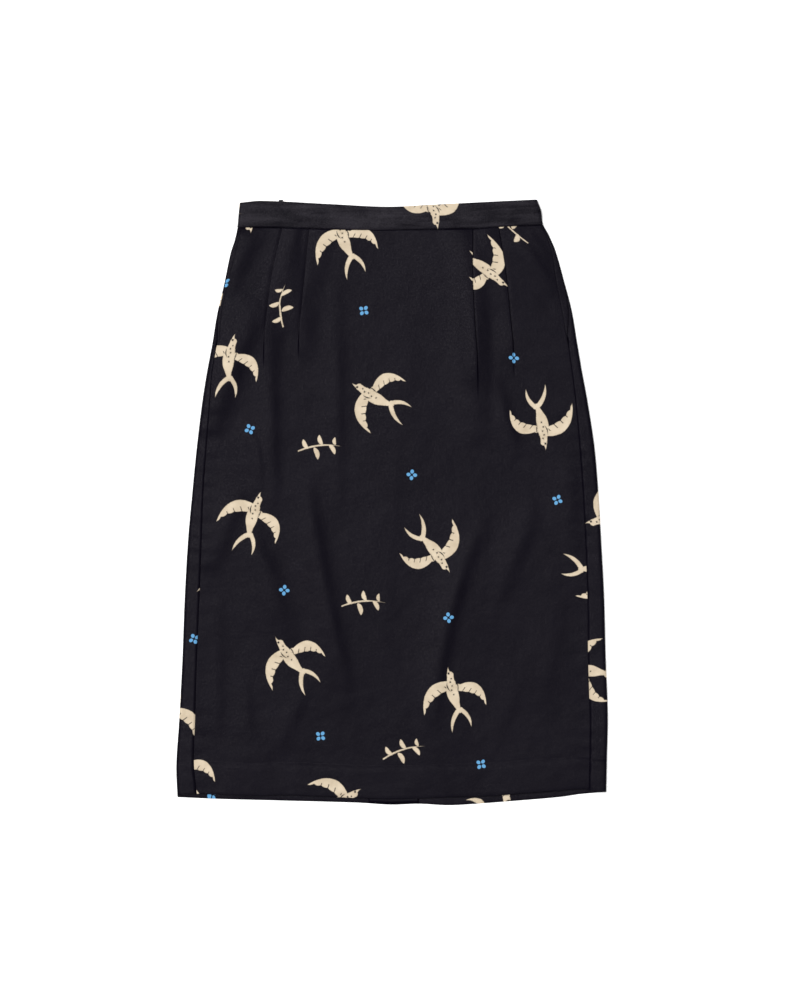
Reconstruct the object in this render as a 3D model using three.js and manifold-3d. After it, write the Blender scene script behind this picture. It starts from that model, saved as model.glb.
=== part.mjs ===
// A pleated skirt in printed cotton sateen, laid out flat on its back with its front up.
// Millimetres. +Y runs up the skirt to the waist, +X is to the right as seen from above and +Z points
// up from the surface. The origin is the middle of the skirt's outline, at the level of the surface.
import * as THREE from 'three';
import { mergeVertices } from 'three/addons/utils/BufferGeometryUtils.js';
import Module from 'manifold-3d';

const { clamp, lerp, smoothstep, degToRad } = THREE.MathUtils;

// Driving dimensions
const CLOTH = 1.0; // wall of one layer of cloth
const HEM_WALL = 2.0; // cloth and its turn-up
const HEM_DEPTH = 38;
const SEAM_GAP = 0.3;
const INNER_ROOM = 3.6; // between the back and the front, where the pocket bags lie
const SIDE_ROUND = 4.0; // half-width of the rounded fold at each side
const CENTRE_BACK = -2.4;
const BAND_WALL_FRONT = 2.4;
const BAND_WALL_BACK = 2.2;
const BAND_ROOM = 3.0; // between the two walls of the waistband
const BAND_SWELL = 0.5; // how far the waistband bulges along its middle
const BAND_PARTING = 3.8; // at the centre back, where the zip's tab lies
const LEAST_ANGLE = degToRad(2); // of a pleat that has opened out flat
const LAYER_PITCH = 1.4; // from one layer of a pleat to the next
const OPEN_SWELL = 2.2; // how much higher an opening pleat stands than a closed one, for its turn
const LEAST_BETWEEN = 0.8; // cloth between the two turns of a pleat that has opened

// Heights that follow from them, each at the middle of its wall
const BACK_LEVEL = CLOTH / 2;
const FRONT_LEVEL = CLOTH + INNER_ROOM + CLOTH / 2;
const SUNK_LEVEL = FRONT_LEVEL - 1.7; // the back, where it passes under the edge of a pocket's mouth
const BAND_LEVEL_BACK = BAND_WALL_BACK / 2;
const BAND_LEVEL_FRONT = BAND_WALL_BACK + BAND_ROOM + BAND_WALL_FRONT / 2;

function table(columns, ...rows) {
  return rows.map((row) => Object.fromEntries(columns.map((name, i) => [name, row[i]])));
}

// Outline by sections: half-widths to the left and right, and how far each side seam lies inside them
const SECTIONS = table(
  ['y', 'left', 'right', 'leftWrap', 'rightWrap'],
  [-345, 251.9, 251.4, 22.6, 20.6],
  [-309, 253.2, 252.1, 20.6, 20.3],
  [-256, 249.8, 253.2, 18.6, 21.2],
  [-186, 246.1, 250.7, 17.0, 20.6],
  [-115, 243.4, 248.8, 17.3, 19.5],
  [-45, 239.4, 245.1, 16.0, 18.6],
  [8, 234.6, 242.0, 13.0, 18.3],
  [61, 229.4, 237.4, 11.5, 17.6],
  [114, 223.0, 229.3, 9.3, 14.3],
  [149, 217.6, 222.8, 6.5, 12.0],
  [184, 211.0, 216.9, 5.0, 10.5],
  [220, 205.1, 210.9, 0.8, 3.5],
  [255, 196.9, 201.8, 0, 0],
  [290, 189.6, 191.9, 0, 0],
  [308, 184.0, 184.4, 0, 0],
  [323, 180.9, 176.6, 0, 0],
  [340, 179.4, 174.4, 0, 0],
  [355, 178.1, 169.1, 0, 0],
);

// Edges that run across the skirt
const BAND_TOP = table(['x', 'y'],
  [-178, 351.6], [-153, 353.7], [-68, 349.6], [-5, 346.7], [45, 349.0], [129, 353.3], [169, 355.2]);
const BAND_SEAM = table(['x', 'y'],
  [-180, 322.8], [-130, 322.2], [-52, 319.9], [2, 319.9], [96, 321.1], [127, 323.4], [175, 325.8]);
const FRONT_HEM = table(['x', 'y'],
  [-251, -344.0], [-230, -342.0], [-159, -345.2], [-134, -343.6], [-69, -345.9], [-4, -348.2],
  [69, -346.1], [117, -344.6], [156, -341.4], [195, -338.8], [224, -336.9], [240, -340.1], [251, -340.1]);
const BACK_HEM = table(['x', 'y'],
  [-249, -346.3], [-203, -348.3], [-134, -350.1], [-40, -352.7], [-2, -355.0], [32, -354.0],
  [64, -355.7], [87, -354.8], [156, -349.6], [200, -345.7], [220, -342.7], [251, -340.1]);

// Knife pleats: distance of the fold's edge from the middle at the band, half way and where it opens,
// the depth of the fold at the band, and the heights where it is open and where its ridge has faded
const PLEATS = {
  left: table(
    ['atBand', 'atMiddle', 'atEnd', 'depth', 'opens', 'fades'],
    [129.0, 141.5, 149.8, 14, 212, 118],
    [97.6, 102.6, 109.0, 12, 222, 135],
  ),
  right: table(
    ['atBand', 'atMiddle', 'atEnd', 'depth', 'opens', 'fades'],
    [125.0, 134.0, 141.5, 13, 205, 110],
    [94.6, 94.8, 99.6, 16, 188, 60],
  ),
};

// Largest soft folds of the front: the two ends of each, how far its middle bows to the left of the
// way from the first end to the second, its half-width and height. A shallow trough lies to its right.
const SOFT_FOLDS = table(
  ['fromX', 'fromY', 'toX', 'toY', 'bow', 'width', 'height'],
  [-145, 222, -186, 74, 4, 11, 2.6],
  [-166, 92, -146, 4, -8, 9, 1.8],
  [-140, 168, -138, 36, 0, 11, 2.4],
  [-76, 262, -80, 6, 3, 13, 2.8],
  [-94, 52, -52, -258, -9, 14, 3.6],
  [-112, -20, -56, -232, 8, 12, 2.2],
  [-176, -12, -118, -160, 4, 12, 1.8],
  [-86, -228, -122, -296, 0, 11, 1.6],
  [122, 190, 120, 48, 6, 12, 2.4],
  [148, 232, 178, 42, -7, 12, 2.4],
  [126, -26, 68, -296, 12, 13, 2.6],
  [176, -18, 130, -150, 5, 12, 1.9],
  [-140, 318, -192, 250, 3, 8, 1.2],
  [146, 316, 190, 250, -3, 8, 1.2],
);

// A smooth curve through one column of a table, along another
function curve(rows, along, column) {
  const last = rows.length - 1;
  const slope = (k) => {
    const before = rows[Math.max(k - 1, 0)];
    const after = rows[Math.min(k + 1, last)];
    return (after[column] - before[column]) / (after[along] - before[along]);
  };
  return (at) => {
    const place = clamp(at, rows[0][along], rows[last][along]);
    let k = 0;
    while (k < last - 1 && place > rows[k + 1][along]) k += 1;
    const span = rows[k + 1][along] - rows[k][along];
    const t = (place - rows[k][along]) / span;
    const bend = t * (1 - t) * span;
    const step = rows[k][column] + (rows[k + 1][column] - rows[k][column]) * t * t * (3 - 2 * t);
    return step + bend * ((1 - t) * slope(k) - t * slope(k + 1));
  };
}

const bandTop = curve(BAND_TOP, 'x', 'y');
const bandSeam = curve(BAND_SEAM, 'x', 'y');
const frontHem = curve(FRONT_HEM, 'x', 'y');
const backHem = curve(BACK_HEM, 'x', 'y');
const SIDES = {
  left: { sign: -1, reach: curve(SECTIONS, 'y', 'left'), wrap: curve(SECTIONS, 'y', 'leftWrap') },
  right: { sign: 1, reach: curve(SECTIONS, 'y', 'right'), wrap: curve(SECTIONS, 'y', 'rightWrap') },
};

// Rows of the panels, by height; the pocket's mouth is between the closed stretches of the side seam
const SEWN_BELOW = 178;
const MOUTH_BOTTOM = 186;
const MOUTH_TOP = 304;
const SEWN_ABOVE = 312;
const MOUTH_TUCK = 7; // height over which the back's edge slides in under the front's
const TUCK = 4; // how far it then reaches under
const PANEL_BOTTOM = -345;
const PANEL_TOP = 321;
const HEM_TOP = PANEL_BOTTOM + HEM_DEPTH;
const PANEL_ROWS = [
  PANEL_BOTTOM, PANEL_BOTTOM + 8, HEM_TOP - 4, HEM_TOP + 6,
  -262, -200, -142, -82, -24, 30, 70, 104, 134, 156,
  SEWN_BELOW, MOUTH_BOTTOM, MOUTH_BOTTOM + MOUTH_TUCK,
  208, 228, 250, 275,
  MOUTH_TOP - MOUTH_TUCK, MOUTH_TOP, SEWN_ABOVE, PANEL_TOP,
];

function ramp(value, from, to) {
  return clamp((value - from) / (to - from), 0, 1);
}

function mouthOpen(y) {
  return ramp(y, SEWN_BELOW, MOUTH_BOTTOM) * (1 - ramp(y, MOUTH_TOP, SEWN_ABOVE));
}

function mouthTuck(y) {
  const fromBottom = ramp(y, MOUTH_BOTTOM, MOUTH_BOTTOM + MOUTH_TUCK);
  return TUCK * fromBottom * (1 - ramp(y, MOUTH_TOP - MOUTH_TUCK, MOUTH_TOP));
}

// Height of the rounded side above the surface, a distance inside the outline, on its upper half
function sideHeight(inside, low, high, round) {
  const across = 1 - Math.min(inside, round) / round;
  return (low + high) / 2 + ((high - low) / 2) * Math.sqrt(1 - across * across);
}

// Rise of the front over its level, from the soft folds
const TROUGH_SHARE = 0.16;
const TROUGH_PLACE = 1.9; // in half-widths to the right of the ridge
const FOLD_TAPER = 0.8; // under 1, so that a fold keeps its height towards its ends
function softFolds(x, y) {
  let rise = 0;
  for (const fold of SOFT_FOLDS) {
    const alongX = fold.toX - fold.fromX;
    const alongY = fold.toY - fold.fromY;
    const length = Math.hypot(alongX, alongY);
    const t = ((x - fold.fromX) * alongX + (y - fold.fromY) * alongY) / (length * length);
    if (t <= 0 || t >= 1) continue;
    const bow = 4 * fold.bow * t * (1 - t);
    const across = ((x - fold.fromX) * alongY - (y - fold.fromY) * alongX) / length + bow;
    const ridge = Math.exp(-((across / fold.width) ** 2));
    const trough = Math.exp(-((across / fold.width - TROUGH_PLACE) ** 2));
    rise += fold.height * Math.sin(Math.PI * t) ** FOLD_TAPER * (ridge - TROUGH_SHARE * trough);
  }
  return rise;
}

// How a pleat lies at one height: its edge, the angle that its cloth turns through, the radius of
// the turn, and the length of cloth between the two turns
const PLEAT_MIDDLE = 0.55; // where atMiddle and atEnd are, as shares of the way down to its opening
const PLEAT_END = 1.25;
function pleatAt(pleat, y) {
  const down = (PANEL_TOP - y) / (PANEL_TOP - pleat.opens);
  const edgeRows = [
    { down: 0, edge: pleat.atBand },
    { down: PLEAT_MIDDLE, edge: pleat.atMiddle },
    { down: PLEAT_END, edge: pleat.atEnd },
  ];
  const edge = curve(edgeRows, 'down', 'edge')(down);
  const open = smoothstep(-y, -pleat.opens, -pleat.fades);
  const angle = Math.max(Math.PI * (1 - open), LEAST_ANGLE);
  const folded = angle / Math.PI;
  const turns = 2 * LAYER_PITCH * folded * (1 + OPEN_SWELL * (1 - folded));
  const radius = turns / (2 * (1 - Math.cos(angle)));
  const between = Math.max(pleat.depth * (1 - down), LEAST_BETWEEN);
  const width = 2 * radius * Math.sin(angle) + between * Math.cos(angle);
  const rise = turns + between * Math.sin(angle);
  return { edge, angle, radius, between, width, rise, end: -edge + radius * folded };
}

// The turn of a pleat as an S, from the cloth that goes in under it to the cloth on top
const TURN_STEPS = 4;
function pleatPoints(lie) {
  const start = lie.end - lie.width;
  const points = [];
  for (let i = 1; i <= TURN_STEPS; i += 1) {
    const turned = (lie.angle * i) / TURN_STEPS;
    points.push([start + lie.radius * Math.sin(turned), lie.radius * (1 - Math.cos(turned))]);
  }
  const [midX, midZ] = points[points.length - 1];
  const topX = midX + lie.between * Math.cos(lie.angle);
  const topZ = midZ + lie.between * Math.sin(lie.angle);
  for (let i = 0; i <= TURN_STEPS; i += 1) {
    const left = lie.angle * (1 - i / TURN_STEPS);
    const x = topX + lie.radius * (Math.sin(lie.angle) - Math.sin(left));
    points.push([x, topZ + lie.radius * (Math.cos(left) - Math.cos(lie.angle))]);
  }
  return points;
}

// Half of the front's section from the side seam in to the middle, with x negative outwards
const EDGE_STEPS = 3;
const EDGE_REACH = 6;
const SIDE_STEPS = 5;
const MIDDLE_STEPS = 4;
const RIDGE_FALL = 26; // distance over which the cloth comes down behind a pleat
const FALL_SHARES = [0, 0.3, 0.65, 1];
const LEAST_INSIDE = 0.02; // the side seam is never right on the outline
const MOUTH_BACK = 0.5; // how far the front's edge draws in at a pocket's mouth
const MOUTH_LIFT = 0.7; // and the share of its droop round the side that it loses there
const PLEAT_MARGIN = 3; // from a fold's edge out to where the cloth starts to go in under it
function approach(lie) {
  return lie.end - Math.max(PLEAT_MARGIN, lie.width + PLEAT_MARGIN / 2);
}

function halfFront(name, y) {
  const side = SIDES[name];
  const reach = side.reach(y);
  const open = mouthOpen(y);
  const seam = Math.max(side.wrap(y) + SEAM_GAP / 2, LEAST_INSIDE) + MOUTH_BACK * open;
  const path = [];
  for (let i = 0; i <= EDGE_STEPS; i += 1) {
    const inside = seam + EDGE_REACH * (i / EDGE_STEPS) ** 2;
    const round = sideHeight(inside, BACK_LEVEL, FRONT_LEVEL, SIDE_ROUND);
    const droop = (FRONT_LEVEL - round) * (1 - MOUTH_LIFT * open);
    path.push([inside - reach, -droop]);
  }
  const pleats = PLEATS[name].map((pleat) => pleatAt(pleat, y));
  const edgeX = path[path.length - 1][0];
  for (let i = 1; i <= SIDE_STEPS; i += 1) {
    path.push([lerp(edgeX, approach(pleats[0]), i / SIDE_STEPS), 0]);
  }
  pleats.forEach((lie, k) => {
    path.push([lie.end - lie.width, 0], ...pleatPoints(lie));
    const next = pleats[k + 1];
    const fallFrom = lie.end + lie.between + PLEAT_MARGIN / 2;
    const fallTo = Math.min(fallFrom + RIDGE_FALL, next ? approach(next) : 0);
    for (const t of FALL_SHARES) {
      path.push([lerp(fallFrom, fallTo, t), lie.rise * (1 - smoothstep(t, 0, 1))]);
    }
    if (!next) {
      for (let i = 1; i <= MIDDLE_STEPS; i += 1) path.push([lerp(fallTo, 0, i / MIDDLE_STEPS), 0]);
    }
  });
  return path;
}

function frontPoints() {
  return PANEL_ROWS.map((rowY) => {
    const left = halfFront('left', rowY);
    const right = halfFront('right', rowY).map(([x, z]) => [-x, z]);
    const across = [...left, ...right.reverse().slice(1)];
    const share = (rowY - PANEL_BOTTOM) / (PANEL_TOP - PANEL_BOTTOM);
    return across.map(([x, z]) => {
      const y = lerp(frontHem(x), bandSeam(x) - SEAM_GAP, share);
      return new THREE.Vector3(x, y, FRONT_LEVEL + z + softFolds(x, y));
    });
  });
}

// Half of the back's section, from the centre back out to the side, round it and in to the seam
const FLAT_STEPS = 5;
const ROUND_STEPS = 8;
const WRAP_SCALE = 25; // spreads the last steps over the part of the back that comes round in front
const BUTT = 0.05; // how far short of the outline the back stops where the seam lies on it
const BUTT_REACH = 0.5;
const OVER_TURN = 0.3; // over this share of the turn its foot changes from the back's hem to the front's
function halfBack(name, y) {
  const side = SIDES[name];
  const reach = side.reach(y);
  const open = mouthOpen(y);
  const high = lerp(FRONT_LEVEL, SUNK_LEVEL, open);
  const end = Math.max(side.wrap(y) - SEAM_GAP / 2, 0) + mouthTuck(y);
  const butt = BUTT * (1 - Math.min(end / BUTT_REACH, 1));
  const lastTurn = Math.sqrt(end / WRAP_SCALE) - butt;
  const centre = side.sign * CENTRE_BACK + SEAM_GAP / 2;
  const path = [];
  for (let i = 0; i < FLAT_STEPS; i += 1) {
    path.push({ x: lerp(centre, reach - SIDE_ROUND, i / FLAT_STEPS), z: BACK_LEVEL, over: 0 });
  }
  for (let i = 0; i <= ROUND_STEPS; i += 1) {
    const turn = lerp(-1, lastTurn, i / ROUND_STEPS);
    const below = (Math.PI / 2) * Math.min(turn, 0);
    const inside = turn < 0 ? SIDE_ROUND * (1 - Math.cos(below)) : WRAP_SCALE * turn * turn;
    const under = (BACK_LEVEL + high) / 2 + ((high - BACK_LEVEL) / 2) * Math.sin(below);
    const z = turn < 0 ? under : sideHeight(inside, BACK_LEVEL, high, SIDE_ROUND);
    path.push({ x: reach - inside, z, over: smoothstep(turn, -OVER_TURN, OVER_TURN) });
  }
  return path.map((point) => ({ ...point, x: side.sign * point.x }));
}

function backPoints(name) {
  return PANEL_ROWS.map((rowY) => {
    const share = (rowY - PANEL_BOTTOM) / (PANEL_TOP - PANEL_BOTTOM);
    return halfBack(name, rowY).map(({ x, z, over }) => {
      const hem = lerp(backHem(x), frontHem(x), over);
      return new THREE.Vector3(x, lerp(hem, bandSeam(x) - SEAM_GAP, share), z);
    });
  });
}

// A wall over a grid of points: half of the cloth outside them and the rest of the wall inside
function wall(grid, thickness, outside = CLOTH / 2) {
  const rows = grid.length;
  const columns = grid[0].length;
  const positions = [];
  const put = (point) => positions.push(point.x, point.y, point.z);
  const outer = [];
  const inner = [];
  grid.forEach((row, i) => row.forEach((point, k) => {
    const alongRow = row[Math.min(k + 1, columns - 1)].clone().sub(row[Math.max(k - 1, 0)]);
    const alongColumn = grid[Math.min(i + 1, rows - 1)][k].clone().sub(grid[Math.max(i - 1, 0)][k]);
    const normal = alongRow.cross(alongColumn).normalize();
    const wallHere = typeof thickness === 'function' ? thickness(i, k, point) : thickness;
    outer.push(point.clone().addScaledVector(normal, outside));
    inner.push(point.clone().addScaledVector(normal, outside - wallHere));
  }));
  outer.forEach(put);
  inner.forEach(put);
  const at = (i, k) => i * columns + k;
  const behind = rows * columns;
  const faces = [];
  const quad = (a, b, c, d) => faces.push(a, b, c, a, c, d);
  for (let i = 0; i < rows - 1; i += 1) {
    for (let k = 0; k < columns - 1; k += 1) {
      quad(at(i, k), at(i, k + 1), at(i + 1, k + 1), at(i + 1, k));
      quad(behind + at(i, k), behind + at(i + 1, k), behind + at(i + 1, k + 1), behind + at(i, k + 1));
    }
  }
  const rim = [];
  for (let k = 0; k < columns; k += 1) rim.push(at(0, k));
  for (let i = 1; i < rows; i += 1) rim.push(at(i, columns - 1));
  for (let k = columns - 2; k >= 0; k -= 1) rim.push(at(rows - 1, k));
  for (let i = rows - 2; i > 0; i -= 1) rim.push(at(i, 0));
  rim.forEach((here, n) => {
    const next = rim[(n + 1) % rim.length];
    quad(here, behind + here, behind + next, next);
  });
  const geometry = new THREE.BufferGeometry();
  geometry.setAttribute('position', new THREE.Float32BufferAttribute(positions, 3));
  geometry.setIndex(faces);
  geometry.computeVertexNormals();
  return geometry;
}

function mirrored(grid) {
  return grid.map((row) => [...row].reverse());
}

const skirt = new THREE.Group();
function add(name, geometry, finish) {
  const material = new THREE.MeshStandardMaterial({ metalness: 0, ...finish });
  material.name = name;
  const mesh = new THREE.Mesh(geometry, material);
  mesh.name = name;
  skirt.add(mesh);
}

const SATEEN = { color: 0x222126, roughness: 0.62 };
const POCKETING = { color: 0x1b1b1e, roughness: 0.75 };
const LOOP_TAPE = { color: 0x18181b, roughness: 0.5 };
const ZIP_TAPE = { color: 0x18181b, roughness: 0.6 };
const ZIP_ENAMEL = { color: 0x1c1c1f, roughness: 0.35, metalness: 0.4 };

// Panels; their walls grow inwards at the turned-up hem
const HEM_ROWS = 3;
const hemWall = (i) => (i < HEM_ROWS ? HEM_WALL : CLOTH);
add('front_panel', wall(frontPoints(), hemWall), SATEEN);
add('back_panel_left', wall(backPoints('left'), hemWall), SATEEN);
add('back_panel_right', wall(mirrored(backPoints('right')), hemWall), SATEEN);

// Waistband: rows from its seam to its top edge
const BAND_ROWS = [0, 0.12, 0.5, 0.88, 1];
const BAND_STEPS = 14;
const BAND_EDGE = 0.85; // thickness at the top and bottom edges, as a share of the middle's
const BAND_SIDE_GAP = 0.18; // how far inside the outline the front's ends stop
const BAND_SIDE_ANGLE = -12; // where the back's ends stop, in degrees round the fold
function bandWall(thickness) {
  return (i) => thickness * (i === 0 || i === BAND_ROWS.length - 1 ? BAND_EDGE : 1);
}

function bandRow(share, across) {
  const low = lerp(PANEL_TOP + 2, BAND_TOP[1].y, share);
  return across(low).map(([x, z]) => {
    const y = lerp(bandSeam(x), bandTop(x), share);
    return new THREE.Vector3(x, y, z);
  });
}

function bandFrontAcross(share) {
  return (y) => {
    const end = (name) => {
      const reach = SIDES[name].reach(y);
      const points = [];
      for (let i = 0; i <= EDGE_STEPS; i += 1) {
        const inside = BAND_SIDE_GAP + EDGE_REACH * (i / EDGE_STEPS) ** 2;
        const z = sideHeight(inside, BAND_LEVEL_BACK, BAND_LEVEL_FRONT, SIDE_ROUND);
        points.push([SIDES[name].sign * (reach - inside), z]);
      }
      return points;
    };
    const left = end('left');
    const right = end('right').reverse();
    const from = left[left.length - 1][0];
    const to = right[0][0];
    const middle = [];
    for (let i = 1; i < BAND_STEPS; i += 1) {
      const swell = BAND_SWELL * Math.sin(Math.PI * share);
      middle.push([lerp(from, to, i / BAND_STEPS), BAND_LEVEL_FRONT + swell]);
    }
    return [...left, ...middle, ...right];
  };
}

function bandBackAcross(name) {
  return (y) => {
    const { sign, reach } = SIDES[name];
    const centre = sign * CENTRE_BACK + BAND_PARTING / 2;
    const points = [];
    for (let i = 0; i < FLAT_STEPS; i += 1) {
      points.push([sign * lerp(centre, reach(y) - SIDE_ROUND, i / FLAT_STEPS), BAND_LEVEL_BACK]);
    }
    const half = (BAND_LEVEL_FRONT - BAND_LEVEL_BACK) / 2;
    for (let i = 0; i <= TURN_STEPS; i += 1) {
      const below = degToRad(lerp(-90, BAND_SIDE_ANGLE, i / TURN_STEPS));
      const x = reach(y) - SIDE_ROUND * (1 - Math.cos(below));
      points.push([sign * x, BAND_LEVEL_BACK + half * (1 + Math.sin(below))]);
    }
    return points;
  };
}

const bandFront = BAND_ROWS.map((share) => bandRow(share, bandFrontAcross(share)));
const bandBackLeft = BAND_ROWS.map((share) => bandRow(share, bandBackAcross('left')));
const bandBackRight = BAND_ROWS.map((share) => bandRow(share, bandBackAcross('right')));
const frontBandWall = bandWall(BAND_WALL_FRONT);
const backBandWall = bandWall(BAND_WALL_BACK);
add('waistband_front', wall(bandFront, frontBandWall, BAND_WALL_FRONT / 2), SATEEN);
add('waistband_back_left', wall(bandBackLeft, backBandWall, BAND_WALL_BACK / 2), SATEEN);
add('waistband_back_right', wall(mirrored(bandBackRight), backBandWall, BAND_WALL_BACK / 2), SATEEN);

// Pocket bags: one folded layer each, from under the mouth's back edge, in, round and back out
const BAG = table(['y', 'depth'],
  [92, 62], [108, 96], [140, 118], [190, 122], [240, 112], [285, 92], [300, 78]);
const bagDepth = curve(BAG, 'y', 'depth');
const BAG_LOWER = 1.9;
const BAG_UPPER = 3.5;
const BAG_SEWN = SEAM_GAP + CLOTH; // pitch of the two layers where they are sewn together
const BAG_MARGIN = 1.5; // from the back's inner edge to the bag's mouth
const BAG_SHARES = [0, 0.35, 0.7];
function bagPoints(name) {
  const { sign, reach, wrap } = SIDES[name];
  return BAG.map(({ y }, row) => {
    const ends = row === 0 || row === BAG.length - 1;
    const upper = ends ? BAG_LOWER + BAG_SEWN : BAG_UPPER;
    const radius = (upper - BAG_LOWER) / 2;
    const mouth = reach(y) - Math.max(wrap(y), SIDE_ROUND) - TUCK - BAG_MARGIN;
    const inner = mouth - bagDepth(y);
    const points = [];
    for (const t of BAG_SHARES) points.push([lerp(mouth, inner, t), BAG_LOWER]);
    for (let i = 0; i <= TURN_STEPS; i += 1) {
      const turned = Math.PI * (i / TURN_STEPS);
      points.push([inner - radius * Math.sin(turned), BAG_LOWER + radius * (1 - Math.cos(turned))]);
    }
    for (const t of [...BAG_SHARES].reverse()) points.push([lerp(mouth, inner, t), upper]);
    return points.map(([x, z]) => new THREE.Vector3(sign * x, y, z));
  });
}

add('pocket_bag_left', wall(mirrored(bagPoints('left')), CLOTH), POCKETING);
add('pocket_bag_right', wall(bagPoints('right'), CLOTH), POCKETING);

// Vent underlap: a strip inside the centre back, over the two halves and their turned-up hems
const VENT_LEFT = -27.6;
const VENT_RIGHT = 31.2;
const VENT_TOP = -198;
const VENT_INSET = 0.8; // how far its foot stops above the back's hem
const OVER_HEM = HEM_WALL + SEAM_GAP + CLOTH / 2;
const OVER_BACK = CLOTH + SEAM_GAP + CLOTH / 2;
const UNDERLAP = table(['y', 'level'],
  [PANEL_BOTTOM, OVER_HEM], [HEM_TOP + 2, OVER_HEM], [HEM_TOP + 14, OVER_BACK], [-240, OVER_BACK],
  [VENT_TOP, OVER_BACK]);
const UNDERLAP_STEPS = 4;
const underlapPoints = UNDERLAP.map(({ y, level }, row) => {
  const points = [];
  for (let i = 0; i <= UNDERLAP_STEPS; i += 1) {
    const x = lerp(VENT_LEFT, VENT_RIGHT, i / UNDERLAP_STEPS);
    points.push(new THREE.Vector3(x, row === 0 ? backHem(x) + VENT_INSET : y, level));
  }
  return points;
});
add('vent_underlap', wall(underlapPoints, CLOTH), SATEEN);

// Hanger loop: a narrow tape doubled between the walls of the waistband, with its tip above them
const LOOP_X = -130.5;
const LOOP_WIDTH = 5;
const LOOP_TIP = 355.2;
const LOOP_FOOT = 331;
const LOOP_LOWER = 3.05;
const LOOP_PITCH = CLOTH + SEAM_GAP;
const loopPath = [[LOOP_FOOT, LOOP_LOWER]];
const loopTurn = LOOP_TIP - CLOTH / 2 - LOOP_PITCH / 2;
for (let i = 0; i <= TURN_STEPS; i += 1) {
  const turned = Math.PI * (i / TURN_STEPS);
  const z = LOOP_LOWER + (LOOP_PITCH / 2) * (1 - Math.cos(turned));
  loopPath.push([loopTurn + (LOOP_PITCH / 2) * Math.sin(turned), z]);
}
loopPath.push([LOOP_FOOT, LOOP_LOWER + LOOP_PITCH]);
const loopPoints = loopPath.map(([y, z]) => [
  new THREE.Vector3(LOOP_X - LOOP_WIDTH / 2, y, z),
  new THREE.Vector3(LOOP_X + LOOP_WIDTH / 2, y, z),
]);
add('hanger_loop', wall(mirrored(loopPoints), CLOTH), LOOP_TAPE);

// Concealed zip: its tape over the centre-back seam, and its slider in the parting of the waistband
const TAPE_WIDTH = 24;
const TAPE_TOP = 332;
const TAPE_BOTTOM = 150;
const TAPE_IN_BAND = BAND_WALL_BACK + SEAM_GAP + CLOTH / 2;
const TAPE = table(['y', 'level'],
  [TAPE_BOTTOM, OVER_BACK], [230, OVER_BACK], [306, OVER_BACK],
  [316, TAPE_IN_BAND], [TAPE_TOP, TAPE_IN_BAND]);
const tapePoints = TAPE.map(({ y, level }) => [-1, 0, 1].map((edge) => (
  new THREE.Vector3(CENTRE_BACK + (edge * TAPE_WIDTH) / 2, y, level)
)));
add('zip_tape', wall(tapePoints, CLOTH), ZIP_TAPE);

const SLIDER = { width: 6, length: 9, low: 2.5, high: 4.8, corner: 1.6 };
const NECK = { width: 1.6, length: 4, low: 1.0, high: 2.8 };
const TAB = { width: 3.0, length: 17, low: 0.3, high: 1.3, corner: 1.2 };
const SLIDER_Y = TAPE_TOP + SEAM_GAP + SLIDER.length / 2;
const CORNER_SEGMENTS = 3;

function roundedPlate({ width, length, low, high, corner }) {
  const x = width / 2;
  const y = length / 2;
  const outline = new THREE.Shape();
  outline.moveTo(-x + corner, -y);
  outline.lineTo(x - corner, -y);
  outline.quadraticCurveTo(x, -y, x, -y + corner);
  outline.lineTo(x, y - corner);
  outline.quadraticCurveTo(x, y, x - corner, y);
  outline.lineTo(-x + corner, y);
  outline.quadraticCurveTo(-x, y, -x, y - corner);
  outline.lineTo(-x, -y + corner);
  outline.quadraticCurveTo(-x, -y, -x + corner, -y);
  const extrusion = { depth: high - low, bevelEnabled: false, curveSegments: CORNER_SEGMENTS };
  return new THREE.ExtrudeGeometry(outline, extrusion).translate(CENTRE_BACK, SLIDER_Y, low);
}

const wasm = await Module();
wasm.setup();
function solid(geometry) {
  geometry.deleteAttribute('normal');
  geometry.deleteAttribute('uv');
  const merged = mergeVertices(geometry);
  const mesh = new wasm.Mesh({
    numProp: 3,
    vertProperties: new Float32Array(merged.attributes.position.array),
    triVerts: new Uint32Array(merged.index.array),
  });
  return new wasm.Manifold(mesh);
}

const neck = new THREE.BoxGeometry(NECK.width, NECK.length, NECK.high - NECK.low);
neck.translate(CENTRE_BACK, SLIDER_Y, (NECK.high + NECK.low) / 2);
const tabPlate = roundedPlate(TAB).translate(0, (SLIDER.length - TAB.length) / 2, 0);
const sliderSolid = solid(roundedPlate(SLIDER)).add(solid(neck)).add(solid(tabPlate));
const sliderMesh = sliderSolid.getMesh();
const sliderGeometry = new THREE.BufferGeometry();
sliderGeometry.setAttribute('position', new THREE.BufferAttribute(sliderMesh.vertProperties, 3));
sliderGeometry.setIndex(new THREE.BufferAttribute(sliderMesh.triVerts, 1));
sliderGeometry.computeVertexNormals();
add('zip_slider', sliderGeometry, ZIP_ENAMEL);

export default skirt;
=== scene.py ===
"""A pleated skirt in printed cotton sateen, laid out flat on its back with its front up.

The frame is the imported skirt: metres, +Y up the skirt to the waist, +X to the right and +Z up from the
surface. Garment sizes below are in millimetres of cloth, and each mesh is made from them in metres.
"""
import math

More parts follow.
